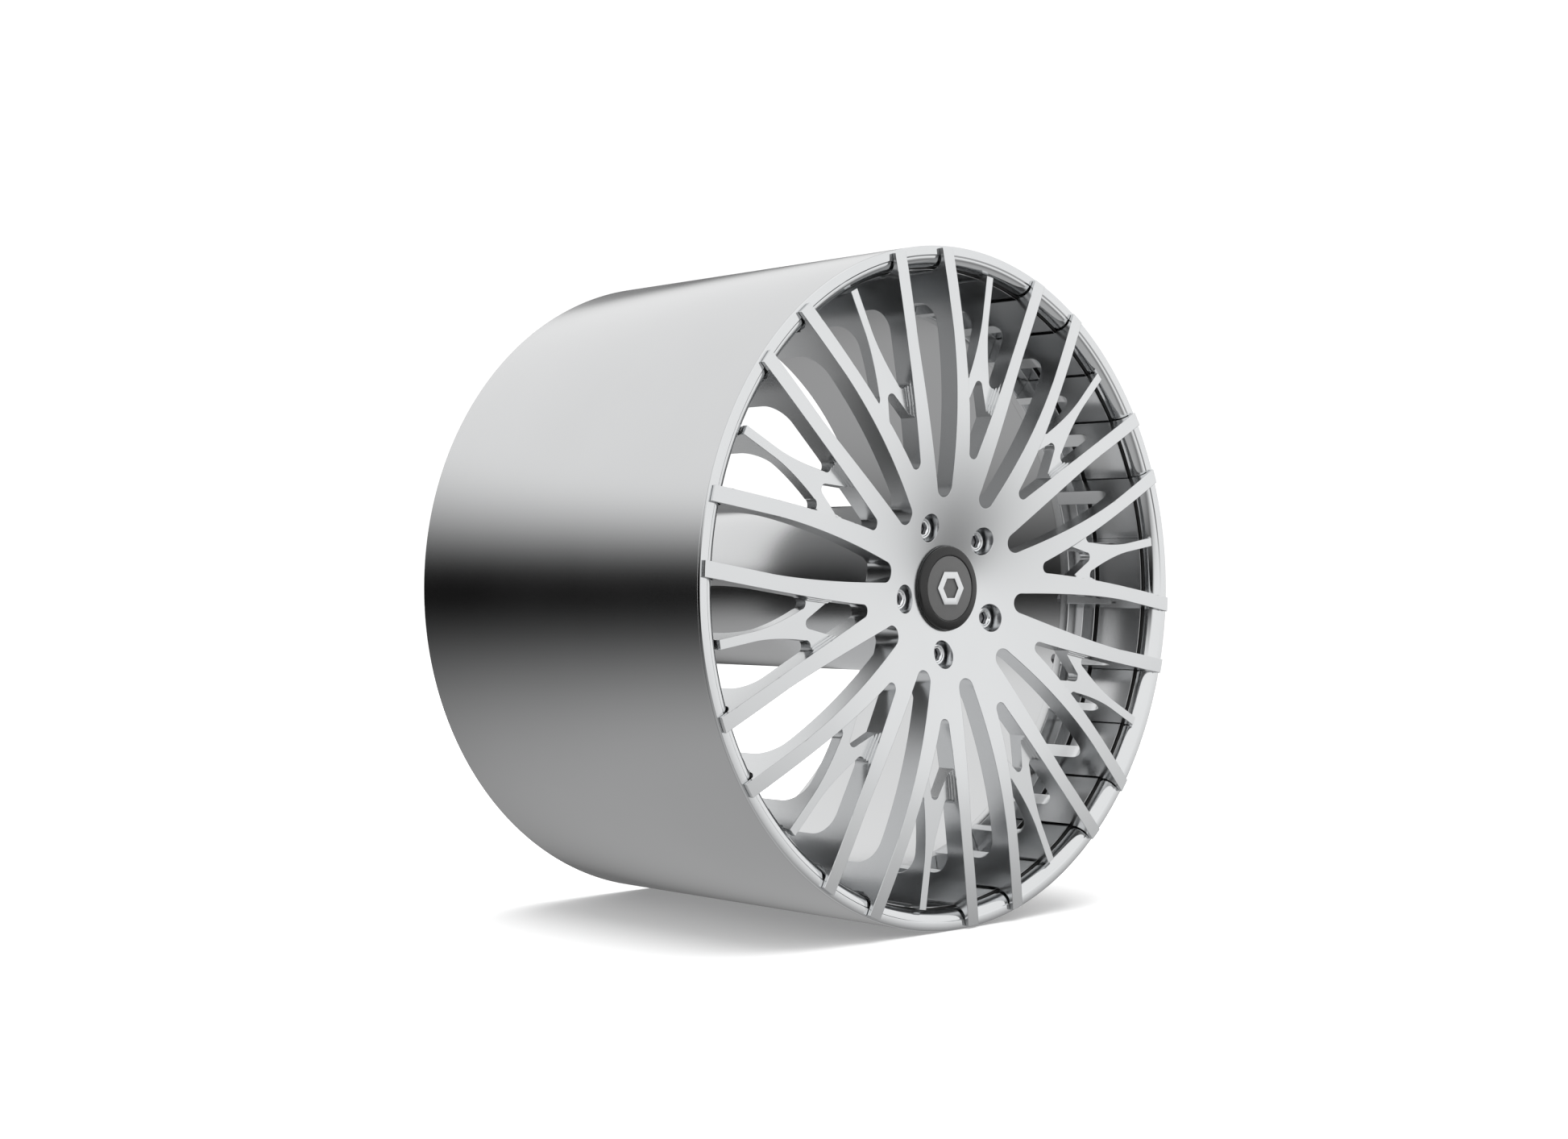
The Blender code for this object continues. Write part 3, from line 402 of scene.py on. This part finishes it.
SLOT_START, SLOT_ROUND = 96.7 * MM, 9.7 * MM
SLOT_WIDE, SLOT_STRAIGHT = 25.2 * MM, 245.0 * MM
SIDE_OFFSET, SIDE_SHIFT, SIDE_ROOT = 39.6 * MM, 5.2 * MM, 125.0 * MM
OUTSIDE = 340.0 * MM
SPOKE_END = 320.8 * MM
FORK_START, FORK_ROUND, ARM_START = 130.3 * MM, 6.0 * MM, 169.0 * MM
CROTCH, CROTCH_ROUND = 195.0 * MM, 5.0 * MM
EYE, EYE_ROUND, EYE_OFFSET = 203.2 * MM, 5.7 * MM, 19.6 * MM
SHORT_HALF, SHORT_FLARE, FLARE_START = 4.4 * MM, 9.6 * MM, 262.0 * MM
SHORT_TIP = 302.5 * MM


def slot_half_width(u):
    share = max(0.0, (SLOT_STRAIGHT - u) / (SLOT_STRAIGHT - SLOT_START))
    return SLOT_WIDE - (SLOT_WIDE - SLOT_ROUND) * share ** 1.55


def wedge_side(u):
    """Outer side of a full spoke, seen from the axis of the fork beside it."""
    half = radians(180.0 / PAIRS)
    share = (SPOKE_END - u) / (SPOKE_END - SIDE_ROOT)
    w = SIDE_OFFSET - SIDE_SHIFT * max(0.0, share) ** 3
    return u * cos(half) + w * sin(half), u * sin(half) - w * cos(half)


def along_pair(u_fork):
    low, high = 0.05, OUTSIDE
    for _ in range(40):
        middle = (low + high) / 2
        if wedge_side(middle)[0] < u_fork:
            low = middle
        else:
            high = middle
    return low


def short_half_width(u):
    share = (FLARE_START - u) / (FLARE_START - EYE)
    return SHORT_HALF + SHORT_FLARE * max(0.0, share) ** 1.7


def mirrored(side):
    return side + [(u, -v) for u, v in reversed(side) if v > 1e-9]


def pair_slot():
    side = arc(SLOT_START, 0, SLOT_ROUND, 180, 90, 10)
    side += [(u, slot_half_width(u)) for u in spaced(SLOT_START, SLOT_STRAIGHT, 24)[1:]]
    return mirrored(side + [(OUTSIDE, SLOT_WIDE)])


def fork_slot():
    side = arc(FORK_START, 0, FORK_ROUND, 180, 110, 8)
    low, high = along_pair(FORK_START + FORK_ROUND * 0.6), along_pair(ARM_START)
    side += [wedge_side(u) for u in spaced(low, high, 8)]
    return mirrored(side + arc(CROTCH, 0, CROTCH_ROUND, 68, 0, 8))


def side_window():
    points = arc(EYE, EYE_OFFSET, EYE_ROUND, 275, 105, 14)
    low = along_pair(EYE + EYE_ROUND * 0.5)
    points += [wedge_side(u) for u in spaced(low, SPOKE_END, 12)]
    points += [wedge_side(OUTSIDE), (OUTSIDE, SHORT_HALF)]
    points += [(u, short_half_width(u)) for u in spaced(FLARE_START, EYE, 14)[:-1]]
    return points


def wedge(start, inset):
    """The sunk bed of a fork, kept back from the spokes beside it."""
    side = [wedge_side(u) for u in spaced(along_pair(start), SPOKE_END, 12)]
    side.append(wedge_side(OUTSIDE))
    return mirrored([(u, v - inset) for u, v in side])


def tip_relief():
    """The space beyond the end of a short spoke, clear of the windows' sides."""
    half = SHORT_HALF + 3.0 * MM
    spread = degrees(half / SHORT_TIP)
    return [(OUTSIDE, -half)] + arc(0, 0, SHORT_TIP, -spread, spread, 8) + [(OUTSIDE, half)]


def centre_section():
    seat_radius = CAP_RADIUS + 0.45 * MM
    points = [(CENTRE_BORE, CAP_SEAT), (seat_radius, CAP_SEAT)]
    points += [(r, face_station(r)) for r in spaced(seat_radius, TIP, 64)]
    points += [(TIP, -TIP_GAP), (LIP_BORE, -TIP_GAP)]
    points += lip_curve(FOOT_GAP, 12)[2:-1]
    foot = LINER_BORE - FOOT_GAP
    points += [(foot, s) for s in spaced(LIP_REAR, DISC_REAR, 8)]
    start = FOOT_BORE - FOOT_FILLET
    back = face_station(start) + WEB
    points += [(FOOT_BORE, s) for s in spaced(DISC_REAR, back + FOOT_FILLET, 6)[:-1]]
    points += arc(start, back + FOOT_FILLET, FOOT_FILLET, 0, -90, 12)
    points += [(r, face_station(r) + WEB) for r in spaced(start, 110.0 * MM, 24)[1:]]
    hub_back = HUB[0] - GAP
    points += [(HUB_PAD, hub_back), (CENTRE_BORE, hub_back)]
    return points


def around(outline, front, rear):
    """A cutter with one outline in line with each fork."""
    cutter = bmesh.new()
    for k in range(PAIRS):
        prism(cutter, outline, front, rear, FORK_ANGLE + 360.0 * k / PAIRS)
    return cutter


def make_centre():
    bm = spun(centre_section())
    ahead, behind = CROWN - OVERSHOOT, DISC_REAR + OVERSHOOT
    window = side_window()
    other = [(u, -v) for u, v in reversed(window)]
    through = bmesh.new()
    for k in range(PAIRS):
        turn = 360.0 * k / PAIRS
        prism(through, pair_slot(), ahead, behind, PAIR_ANGLE + turn)
        for outline in (fork_slot(), window, other):
            prism(through, outline, ahead, behind, FORK_ANGLE + turn)
    bm = carved(bm, through)
    # each bed goes down in three ledges, so a nested frame is left round the fork's arms
    for inset, depth in ((CLEAR, -4.2 * MM), (1.4 * MM, -1.8 * MM), (2.8 * MM, FORK_FACE)):
        bm = carved(bm, around(wedge(FORK_START + 4.0 * MM, inset), ahead, depth))
    bm = carved(bm, around(tip_relief(), ahead, LIP_REAR + DRILL))
    holes = bmesh.new()
    for angle in LUG_ANGLES:
        x, z = polar(BOLT_CIRCLE, angle)
        section = rod(NUT_POCKET, ahead, NUT_SEAT)[:3] + rod(SHANK_HOLE, NUT_SEAT, HUB[0] + DRILL)[1:]
        join(holes, spun(section, WASHER_STEPS, False, x, z))
    add_bolt_holes(holes, BOLT[0] - 1.0 * MM, DISC_REAR + DRILL)
    bm = carved(bm, holes)
    break_edges(bm, 0.35 * MM)
    piece("forged_centre", bm, FORGED, "polished_forging", "wheel", "centre_disc", angle=14.0)


def bolt_places():
    """The bolts' lines, from the frame."""
    places = []
    for i in range(2 * PAIRS):
        low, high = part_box("assembly_bolt_%02d" % (i + 1))
        places.append(((low.x + high.x) / 2, (low.z + high.z) / 2))
    return places


def add_bolt_holes(cutter, front, rear):
    for x, z in bolt_places():
        join(cutter, spun(rod(BOLT_HOLE, front, rear), BOLT_STEPS, False, x, z))


# ================================================================ lip, liner, seals, barrel

def make_lip():
    flange_rear = 3.0 * MM
    section = [(SOCKET, flange_rear), (SOCKET, LIP_REAR)]
    section += list(reversed(lip_curve(0, 20)))
    section += [(LIP_BORE, 0), (RIM, 0), (RIM, flange_rear)]
    piece("rolled_lip", spun(rounded(section, 0.7 * MM)), LIP_METAL, "polished_forging",
          "wheel", "outer_lip")


def valve_frame():
    """Places a shape made about the Y axis on the valve's line, +Y pointing to the wheel's axis."""
    a = radians(VALVE_ANGLE)
    out = Vector((cos(a), 0, sin(a)))
    along = Vector((0, 1, 0))
    turn = Matrix(((-out).cross(along), -out, along)).transposed().to_4x4()
    return Matrix.Translation(out * LINER_BORE + along * y_of(VALVE_STATION)) @ turn


def valve_spun(section, steps=HOLE_STEPS, closed=True):
    bm = spun([(r, d - FRONT) for r, d in section], steps, closed)
    bmesh.ops.transform(bm, matrix=valve_frame(), verts=bm.verts)
    return bm


def valve_hole():
    """A hole for the stem, with a counterbore from outside for its head."""
    outside = -VALVE_WALL - 4 * MM
    section = [(0, 4 * MM), (VALVE_HOLE, 4 * MM), (VALVE_HOLE, VALVE_SEAT)]
    section += [(VALVE_COUNTERBORE, VALVE_SEAT), (VALVE_COUNTERBORE, outside), (0, outside)]
    return valve_spun(section, HOLE_STEPS, False)


def make_barrel():
    front = 3.3 * MM
    seat = SEAL_2[1] + GAP
    flange = [DISC_REAR + GAP, DISC_REAR + GAP + FLANGE_THICKNESS]
    section = [
        (SOCKET + GAP, front), (RIM, front), (RIM, REAR), (BARREL_BORE, REAR),
        (BARREL_BORE, flange[1]), (FLANGE_BORE, flange[1]), (FLANGE_BORE, flange[0]),
        (BARREL_BORE, flange[0]), (BARREL_BORE, seat), (SOCKET + GAP, seat),
    ]
    bm = spun(rounded(section, 1.2 * MM))
    holes = valve_hole()
    add_bolt_holes(holes, flange[0] - DRILL, flange[1] + DRILL)
    bm = carved(bm, holes)
    piece("barrel_shell", bm, BARREL_METAL, "brushed_barrel", "wheel", "barrel", "barrel_flange")
    liner = spun(rounded(box_ring(LINER_BORE, SOCKET, *LINER), 0.5 * MM))
    liner = carved(liner, valve_hole())
    piece("liner_shell", liner, BARREL_METAL, "brushed_barrel", "wheel", "barrel_liner")
    for name, cad, bore, stations in (("lip_seal_ring", "lip_seal", LIP_THROAT - 1.2 * MM, SEAL_1),
                                      ("rear_seal_ring", "barrel_seal", LINER_BORE - 0.2 * MM, SEAL_2)):
        ring = spun(rounded(box_ring(bore, SOCKET, *stations), 0.8 * MM, 5))
        piece(name, ring, RUBBER, "seal_rubber", "wheel", cad)


def hexed(bm, radius, flat, x, z):
    """Turn the round wall at one radius into six flats."""
    for vert in bm.verts:
        dx, dz = vert.co.x - x, vert.co.z - z
        if abs(hypot(dx, dz) - radius) < 1e-5:
            a = degrees(atan2(dz, dx)) % 60.0 - 30.0
            scale = flat / cos(radians(a)) / radius
            vert.co.x, vert.co.z = x + dx * scale, z + dz * scale


def make_bolts():
    head = [BOLT[1] - 8.0 * MM, BOLT[1]]
    for i, (x, z) in enumerate(bolt_places()):
        section = [
            (0, BOLT[0]), (3.2 * MM, BOLT[0]), (3.6 * MM, BOLT[0] + 1.0 * MM), (3.6 * MM, head[0]),
            (6.4 * MM, head[0]), (6.4 * MM, head[0] + 1.0 * MM), (5.6 * MM, head[0] + 1.4 * MM),
            (5.6 * MM, head[1] - 0.5 * MM), (5.0 * MM, head[1]), (3.0 * MM, head[1]),
            (3.0 * MM, head[1] - 4.0 * MM), (0, head[1] - 4.0 * MM),
        ]
        bm = spun(section, 24, False, x, z)
        hexed(bm, 5.6 * MM, 4.9 * MM, x, z)
        hexed(bm, 3.0 * MM, 2.6 * MM, x, z)
        piece("foot_bolt_%02d" % (i + 1), bm, ZINC_WITH_SOCKET_SHADE, "zinc_steel", "wheel", "assembly_bolt_%02d" % (i + 1))


# ================================================================ hub, studs and nuts

def lug_holes(radius, front, rear, turn):
    """Five holes on the bolt circle, through a plate."""
    holes = bmesh.new()
    for angle in LUG_ANGLES:
        x, z = polar(BOLT_CIRCLE, angle + turn)
        join(holes, spun(rod(radius, front - DRILL, rear + DRILL), HOLE_STEPS, False, x, z))
    return holes


def adapter_plate(name, cad, drillings):
    """A plate inside the adapter's tube, drilled at each (radius, turn)."""
    front, rear = stations(cad)
    ring = box_ring(ADAPTER_BORE, HUB_RADIUS - ADAPTER_WALL - GAP, front, rear)
    plate = spun(rounded(ring, 1.0 * MM), HUB_STEPS)
    for radius, turn in drillings:
        plate = carved(plate, lug_holes(radius, front, rear, turn))
    piece(name, plate, HUB_METAL, "brushed_barrel", "wheel", cad)


def make_hub():
    between = 180.0 / len(LUG_ANGLES)
    tube = box_ring(HUB_RADIUS - ADAPTER_WALL, HUB_RADIUS, *HUB)
    piece("adapter_tube", spun(rounded(tube, 1.2 * MM), HUB_STEPS), HUB_METAL, "brushed_barrel",
          "wheel", "hub_tube")
    adapter_plate("adapter_front_plate", "hub_front_plate", ((7.3 * MM, 0.0), (12.5 * MM, between)))
    adapter_plate("adapter_rear_plate", "hub_rear_plate", ((7.5 * MM, between),))
    ring = box_ring(35.75 * MM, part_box("hub_ring")[1].x, *stations("hub_ring"))
    piece("pilot_ring", spun(rounded(ring, 0.6 * MM), NUT_STEPS), BLACK_PLASTIC, "black_plastic",
          "wheel", "hub_ring")


def thread(radius, start, end, pitch):
    """A run of sharp ridges, as the section of a thread."""
    root = radius - pitch * 0.45
    turns = int((end - start) / pitch)
    points = []
    for i in range(turns):
        s = start + i * pitch
        points += [(root, s), (radius, s + pitch * 0.5)]
    return points + [(root, start + turns * pitch)]


def make_studs_and_nuts():
    head = [STUD[1] - 5.0 * MM, STUD[1]]
    for k, angle in enumerate(LUG_ANGLES):
        x, z = polar(BOLT_CIRCLE, angle)
        label = str(k + 1)
        section = [(0, STUD[0]), (5.6 * MM, STUD[0])]
        section += thread(STUD_RADIUS, STUD[0] + 0.8 * MM, HUB[0] + 1.0 * MM, STUD_PITCH)
        section += [(STUD_RADIUS, HUB[0] + 2.0 * MM), (STUD_RADIUS, head[0]), (9.5 * MM, head[0])]
        section += [(9.5 * MM, head[1] - 1.0 * MM), (8.5 * MM, head[1]), (0, head[1])]
        bm = spun(section, HOLE_STEPS, False, x, z)
        # The stud's tip is the floor of the nut's drive socket, and its darkened zinc tone there is
        # painted shade.
        piece("stud_" + label, bm, ZINC_WITH_SOCKET_SHADE, "zinc_steel", "wheel", "wheel_stud_" + label)
        ring = rounded(box_ring(SHANK_HOLE, 12.8 * MM, *WASHER), 0.7 * MM)
        bm = spun(ring, WASHER_STEPS, True, x, z)
        body = "lug_nut_body_" + label
        piece("washer_" + label, bm, CHROME, "chrome", body, "lug_washer_" + label)
        nut = spun(rounded(nut_section(), 0.5 * MM), NUT_STEPS, True, x, z)
        hexed(nut, DRIVE, 5.3 * MM, x, z)
        piece("nut_" + label, nut, CHROME, "chrome", body, "lug_nut_" + label)


DRIVE = 5.95 * MM                # radius of the nut's socket before it is made six-sided


def nut_section():
    """A nut with a bulging shoulder, a flat ring, a six-sided drive and a shank."""
    top, rear = NUT
    seat = WASHER[0] - GAP
    floor_station = 22.7 * MM
    return [
        (DRIVE, floor_station - 0.6 * MM), (DRIVE, top + 1.5 * MM), (7.2 * MM, top + 1.5 * MM),
        (7.8 * MM, top + 0.2 * MM), (8.6 * MM, top), (9.6 * MM, top + 0.4 * MM),
        (10.5 * MM, top + 1.3 * MM), (11.0 * MM, top + 2.8 * MM), (11.0 * MM, seat),
        (9.5 * MM, seat), (9.5 * MM, rear), (7.3 * MM, rear), (7.3 * MM, floor_station),
    ]


# ================================================================ centre cap

def make_cap():
    drop = 1.6 * MM
    bezel = [
        (CAP_FACE + GAP, BEZEL_REAR), (CAP_FACE + GAP, CAP_FRONT + 0.5 * MM),
        (CAP_FACE + 1.2 * MM, CAP_FRONT), (CAP_RADIUS - 0.9 * MM, CAP_FRONT + drop - 0.4 * MM),
        (CAP_RADIUS, CAP_FRONT + drop + 0.3 * MM), (CAP_RADIUS, BEZEL_REAR),
    ]
    piece("cap_bevel_ring", spun(rounded(bezel, 0.35 * MM), HUB_STEPS), GLOSS_BLACK, "gloss_black",
          "centre_cap", "cap_bezel")
    front, rear = stations("cap_face")
    disc = rounded([(0, front), (CAP_FACE, front), (CAP_FACE, rear), (0, rear)], 0.4 * MM, 3, False)
    piece("cap_disc", spun(disc, HUB_STEPS, False), CAP_GREY, "cap_grey", "centre_cap", "cap_face")
    front, rear = stations("cap_emblem")
    ring = rounded(box_ring(10.5 * MM, 18.0 * MM, front, rear), 0.35 * MM)
    bm = spun(ring, 6)
    piece("cap_badge", bm, LIP_METAL, "polished_forging", "centre_cap", "cap_emblem", angle=30.0)
    front, rear = stations("cap_body")
    seat, skirt, inner = 14.4 * MM, 36.2 * MM, 32.8 * MM
    clip = 26.0 * MM
    half, floor_radius = 1.0 * MM, 34.5 * MM
    body = [
        (0, front), (CAP_RADIUS, front), (CAP_RADIUS, seat), (skirt, seat), (skirt, clip - half),
        (floor_radius, clip - half), (floor_radius, clip + half), (skirt, clip + half),
        (skirt, rear), (inner, rear), (inner, front + 2.5 * MM), (0, front + 2.5 * MM),
    ]
    piece("cap_shell", spun(rounded(body, 0.4 * MM, 3, False), HUB_STEPS, False), BLACK_PLASTIC,
          "black_plastic", "centre_cap", "cap_body")
    wire = arc(skirt - 0.7 * MM, clip, 0.7 * MM, 0, 330, 11)
    piece("cap_spring_ring", spun(wire, NUT_STEPS), ZINC_WITH_SOCKET_SHADE, "zinc_steel", "centre_cap", "cap_clip_ring")


# ================================================================ valve

def make_valve():
    seat = VALVE_SEAT - GAP
    grommet_rear = seat - 2.2 * MM
    head = [grommet_rear - GAP - 3.0 * MM, grommet_rear - GAP]
    tip, pin_floor = 24.0 * MM, 12.0 * MM
    stem = [(0, head[0]), (6.6 * MM, head[0]), (7.6 * MM, head[0] + 1.0 * MM), (7.6 * MM, head[1])]
    stem += [(3.9 * MM, head[1]), (3.9 * MM, 7.0 * MM)]
    stem += thread(3.9 * MM, 7.4 * MM, tip - 0.6 * MM, 0.8 * MM)
    stem += [(3.4 * MM, tip), (2.2 * MM, tip), (2.2 * MM, pin_floor), (0, pin_floor)]
    piece("valve_tube", valve_spun(stem, HOLE_STEPS, False), CHROME, "chrome", "wheel", "valve_stem")
    grommet = [
        (4.2 * MM, grommet_rear), (7.6 * MM, grommet_rear), (7.6 * MM, seat), (5.5 * MM, seat),
        (5.5 * MM, -1.0 * MM), (4.2 * MM, -1.0 * MM),
    ]
    piece("valve_seal", valve_spun(rounded(grommet, 0.5 * MM)), RUBBER, "seal_rubber", "wheel",
          "valve_grommet")
    nut = valve_spun(rounded(box_ring(4.85 * MM, 7.2 * MM, 1.0 * MM, 6.0 * MM), 0.5 * MM), 6)
    piece("valve_lock_nut", nut, CHROME, "chrome", "wheel", "valve_nut", angle=30.0)
    pin = rounded(rod(1.0 * MM, pin_floor + 2.0 * MM, tip - 0.4 * MM), 0.3 * MM, 3, False)
    piece("valve_core_pin", valve_spun(pin, BOLT_STEPS, False), BRASS, "valve_brass", "valve_pin_body",
          "valve_pin")
    start = tip - 8.6 * MM
    end = start + 11.0 * MM
    cap = [
        (0, end), (4.0 * MM, end), (5.3 * MM, end - 1.0 * MM), (5.3 * MM, start + 2.0 * MM),
        (5.4 * MM, start), (4.2 * MM, start), (4.2 * MM, end - 1.2 * MM), (0, end - 1.2 * MM),
    ]
    piece("valve_dust_cap", valve_spun(cap, WASHER_STEPS, False), BLACK_PLASTIC, "black_plastic",
          "valve_cap_body", "valve_cap")


# ================================================================ studio

FRONT_SIDE = (0.35, -0.94, 0.0)  # where the sky reaches lowest
DARK_SIDE = (0.70, 0.71, 0.0)    # a dark patch behind the wheel
WHITE = (1.0, 1.0, 1.0, 1.0)


def make_world():
    world = bpy.data.worlds.new("studio")
    bpy.context.scene.world = world
    world.use_nodes = True
    nodes, links = world.node_tree.nodes, world.node_tree.links
    nodes.clear()
    direction = nodes.new("ShaderNodeTexCoord").outputs["Generated"]
    split = nodes.new("ShaderNodeSeparateXYZ")
    links.new(direction, split.inputs["Vector"])
    front = smooth_range(nodes, links, toward(nodes, links, direction, FRONT_SIDE), 0.15, 0.75)
    low = blend_value(nodes, links, front, 0.03, -0.45)
    high = blend_value(nodes, links, front, 0.42, 0.02)
    sky = smooth_range(nodes, links, split.outputs["Z"], low, high)
    behind = smooth_range(nodes, links, toward(nodes, links, direction, DARK_SIDE), 0.90, 0.98)
    cut = nodes.new("ShaderNodeMath")
    cut.operation = "SUBTRACT"
    cut.use_clamp = True
    links.new(sky, cut.inputs[0])
    links.new(behind, cut.inputs[1])
    ground = smooth_range(nodes, links, split.outputs["Z"], -0.02, -0.65)
    lit_sky = scaled(nodes, links, cut.outputs["Value"], 1.05)
    lit_ground = scaled(nodes, links, ground, 0.50)
    total = nodes.new("ShaderNodeMath")
    total.operation = "MAXIMUM"
    links.new(lit_sky, total.inputs[0])
    links.new(lit_ground, total.inputs[1])
    glow = nodes.new("ShaderNodeBackground")
    links.new(total.outputs["Value"], glow.inputs["Strength"])
    glow.inputs["Color"].default_value = WHITE
    paper = nodes.new("ShaderNodeBackground")
    paper.inputs["Color"].default_value = WHITE
    paper.inputs["Strength"].default_value = 1.05
    seen = nodes.new("ShaderNodeLightPath")
    mix = nodes.new("ShaderNodeMixShader")
    links.new(seen.outputs["Is Camera Ray"], mix.inputs["Fac"])
    links.new(glow.outputs["Background"], mix.inputs[1])
    links.new(paper.outputs["Background"], mix.inputs[2])
    links.new(mix.outputs["Shader"], nodes.new("ShaderNodeOutputWorld").inputs["Surface"])


def toward(nodes, links, direction, side):
    """How far a direction points to one side, from -1 to 1."""
    dot = nodes.new("ShaderNodeVectorMath")
    dot.operation = "DOT_PRODUCT"
    dot.inputs[1].default_value = side
    links.new(direction, dot.inputs[0])
    return dot.outputs["Value"]


def smooth_range(nodes, links, source, low, high):
    ramp = nodes.new("ShaderNodeMapRange")
    ramp.interpolation_type = "SMOOTHSTEP"
    for socket, value in (("From Min", low), ("From Max", high)):
        if isinstance(value, float):
            ramp.inputs[socket].default_value = value
        else:
            links.new(value, ramp.inputs[socket])
    links.new(source, ramp.inputs["Value"])
    return ramp.outputs["Result"]


def blend_value(nodes, links, factor, a, b):
    mix = nodes.new("ShaderNodeMix")
    mix.inputs["A"].default_value = a
    mix.inputs["B"].default_value = b
    links.new(factor, mix.inputs["Factor"])
    return mix.outputs["Result"]


def scaled(nodes, links, source, factor):
    times = nodes.new("ShaderNodeMath")
    times.operation = "MULTIPLY"
    times.inputs[1].default_value = factor
    links.new(source, times.inputs[0])
    return times.outputs["Value"]


def make_floor():
    bm = bmesh.new()
    bmesh.ops.create_grid(bm, x_segments=1, y_segments=1, size=40.0)
    bmesh.ops.translate(bm, verts=bm.verts, vec=(0, 0, CAD_BOX[0].z))
    mesh = bpy.data.meshes.new("floor")
    bm.to_mesh(mesh)
    bm.free()
    mat, nodes, links, shader = new_material("floor paper", grey(0.93), 0.0, 0.9)
    shader.inputs["Specular IOR Level"].default_value = 0.0
    shader.inputs["Emission Color"].default_value = WHITE
    shader.inputs["Emission Strength"].default_value = 0.12
    mesh.materials.append(mat)
    plane = bpy.data.objects.new("floor", mesh)
    bpy.context.scene.collection.objects.link(plane)
    plane.visible_glossy = False


def make_light(name, place, size, power, glossy):
    data = bpy.data.lights.new(name, "AREA")
    data.shape = "DISK"
    data.size = size
    data.energy = power
    light = bpy.data.objects.new(name, data)
    light.location = place
    light.rotation_euler = (-Vector(place)).to_track_quat("-Z", "Y").to_euler()
    light.visible_glossy = glossy
    light.visible_camera = False
    bpy.context.scene.collection.objects.link(light)


def make_camera():
    data = bpy.data.cameras.new("camera")
    data.lens = 50.0
    data.sensor_width = 36.0
    data.clip_end = 200.0
    camera = bpy.data.objects.new("camera", data)
    camera.location = (-1.5263, FRONT - 1.3897, 0.0095)
    camera.rotation_euler = (radians(90.23), 0, radians(-43.12))
    bpy.context.scene.collection.objects.link(camera)
    bpy.context.scene.camera = camera


make_camera()
make_world()
make_floor()
make_light("overhead softbox", (0.0, 0.0, 4.5), 6.0, 260.0, False)
make_centre()
make_lip()
make_barrel()
make_bolts()
make_hub()
make_studs_and_nuts()
make_cap()
make_valve()
bpy.context.scene.view_settings.view_transform = "Standard"
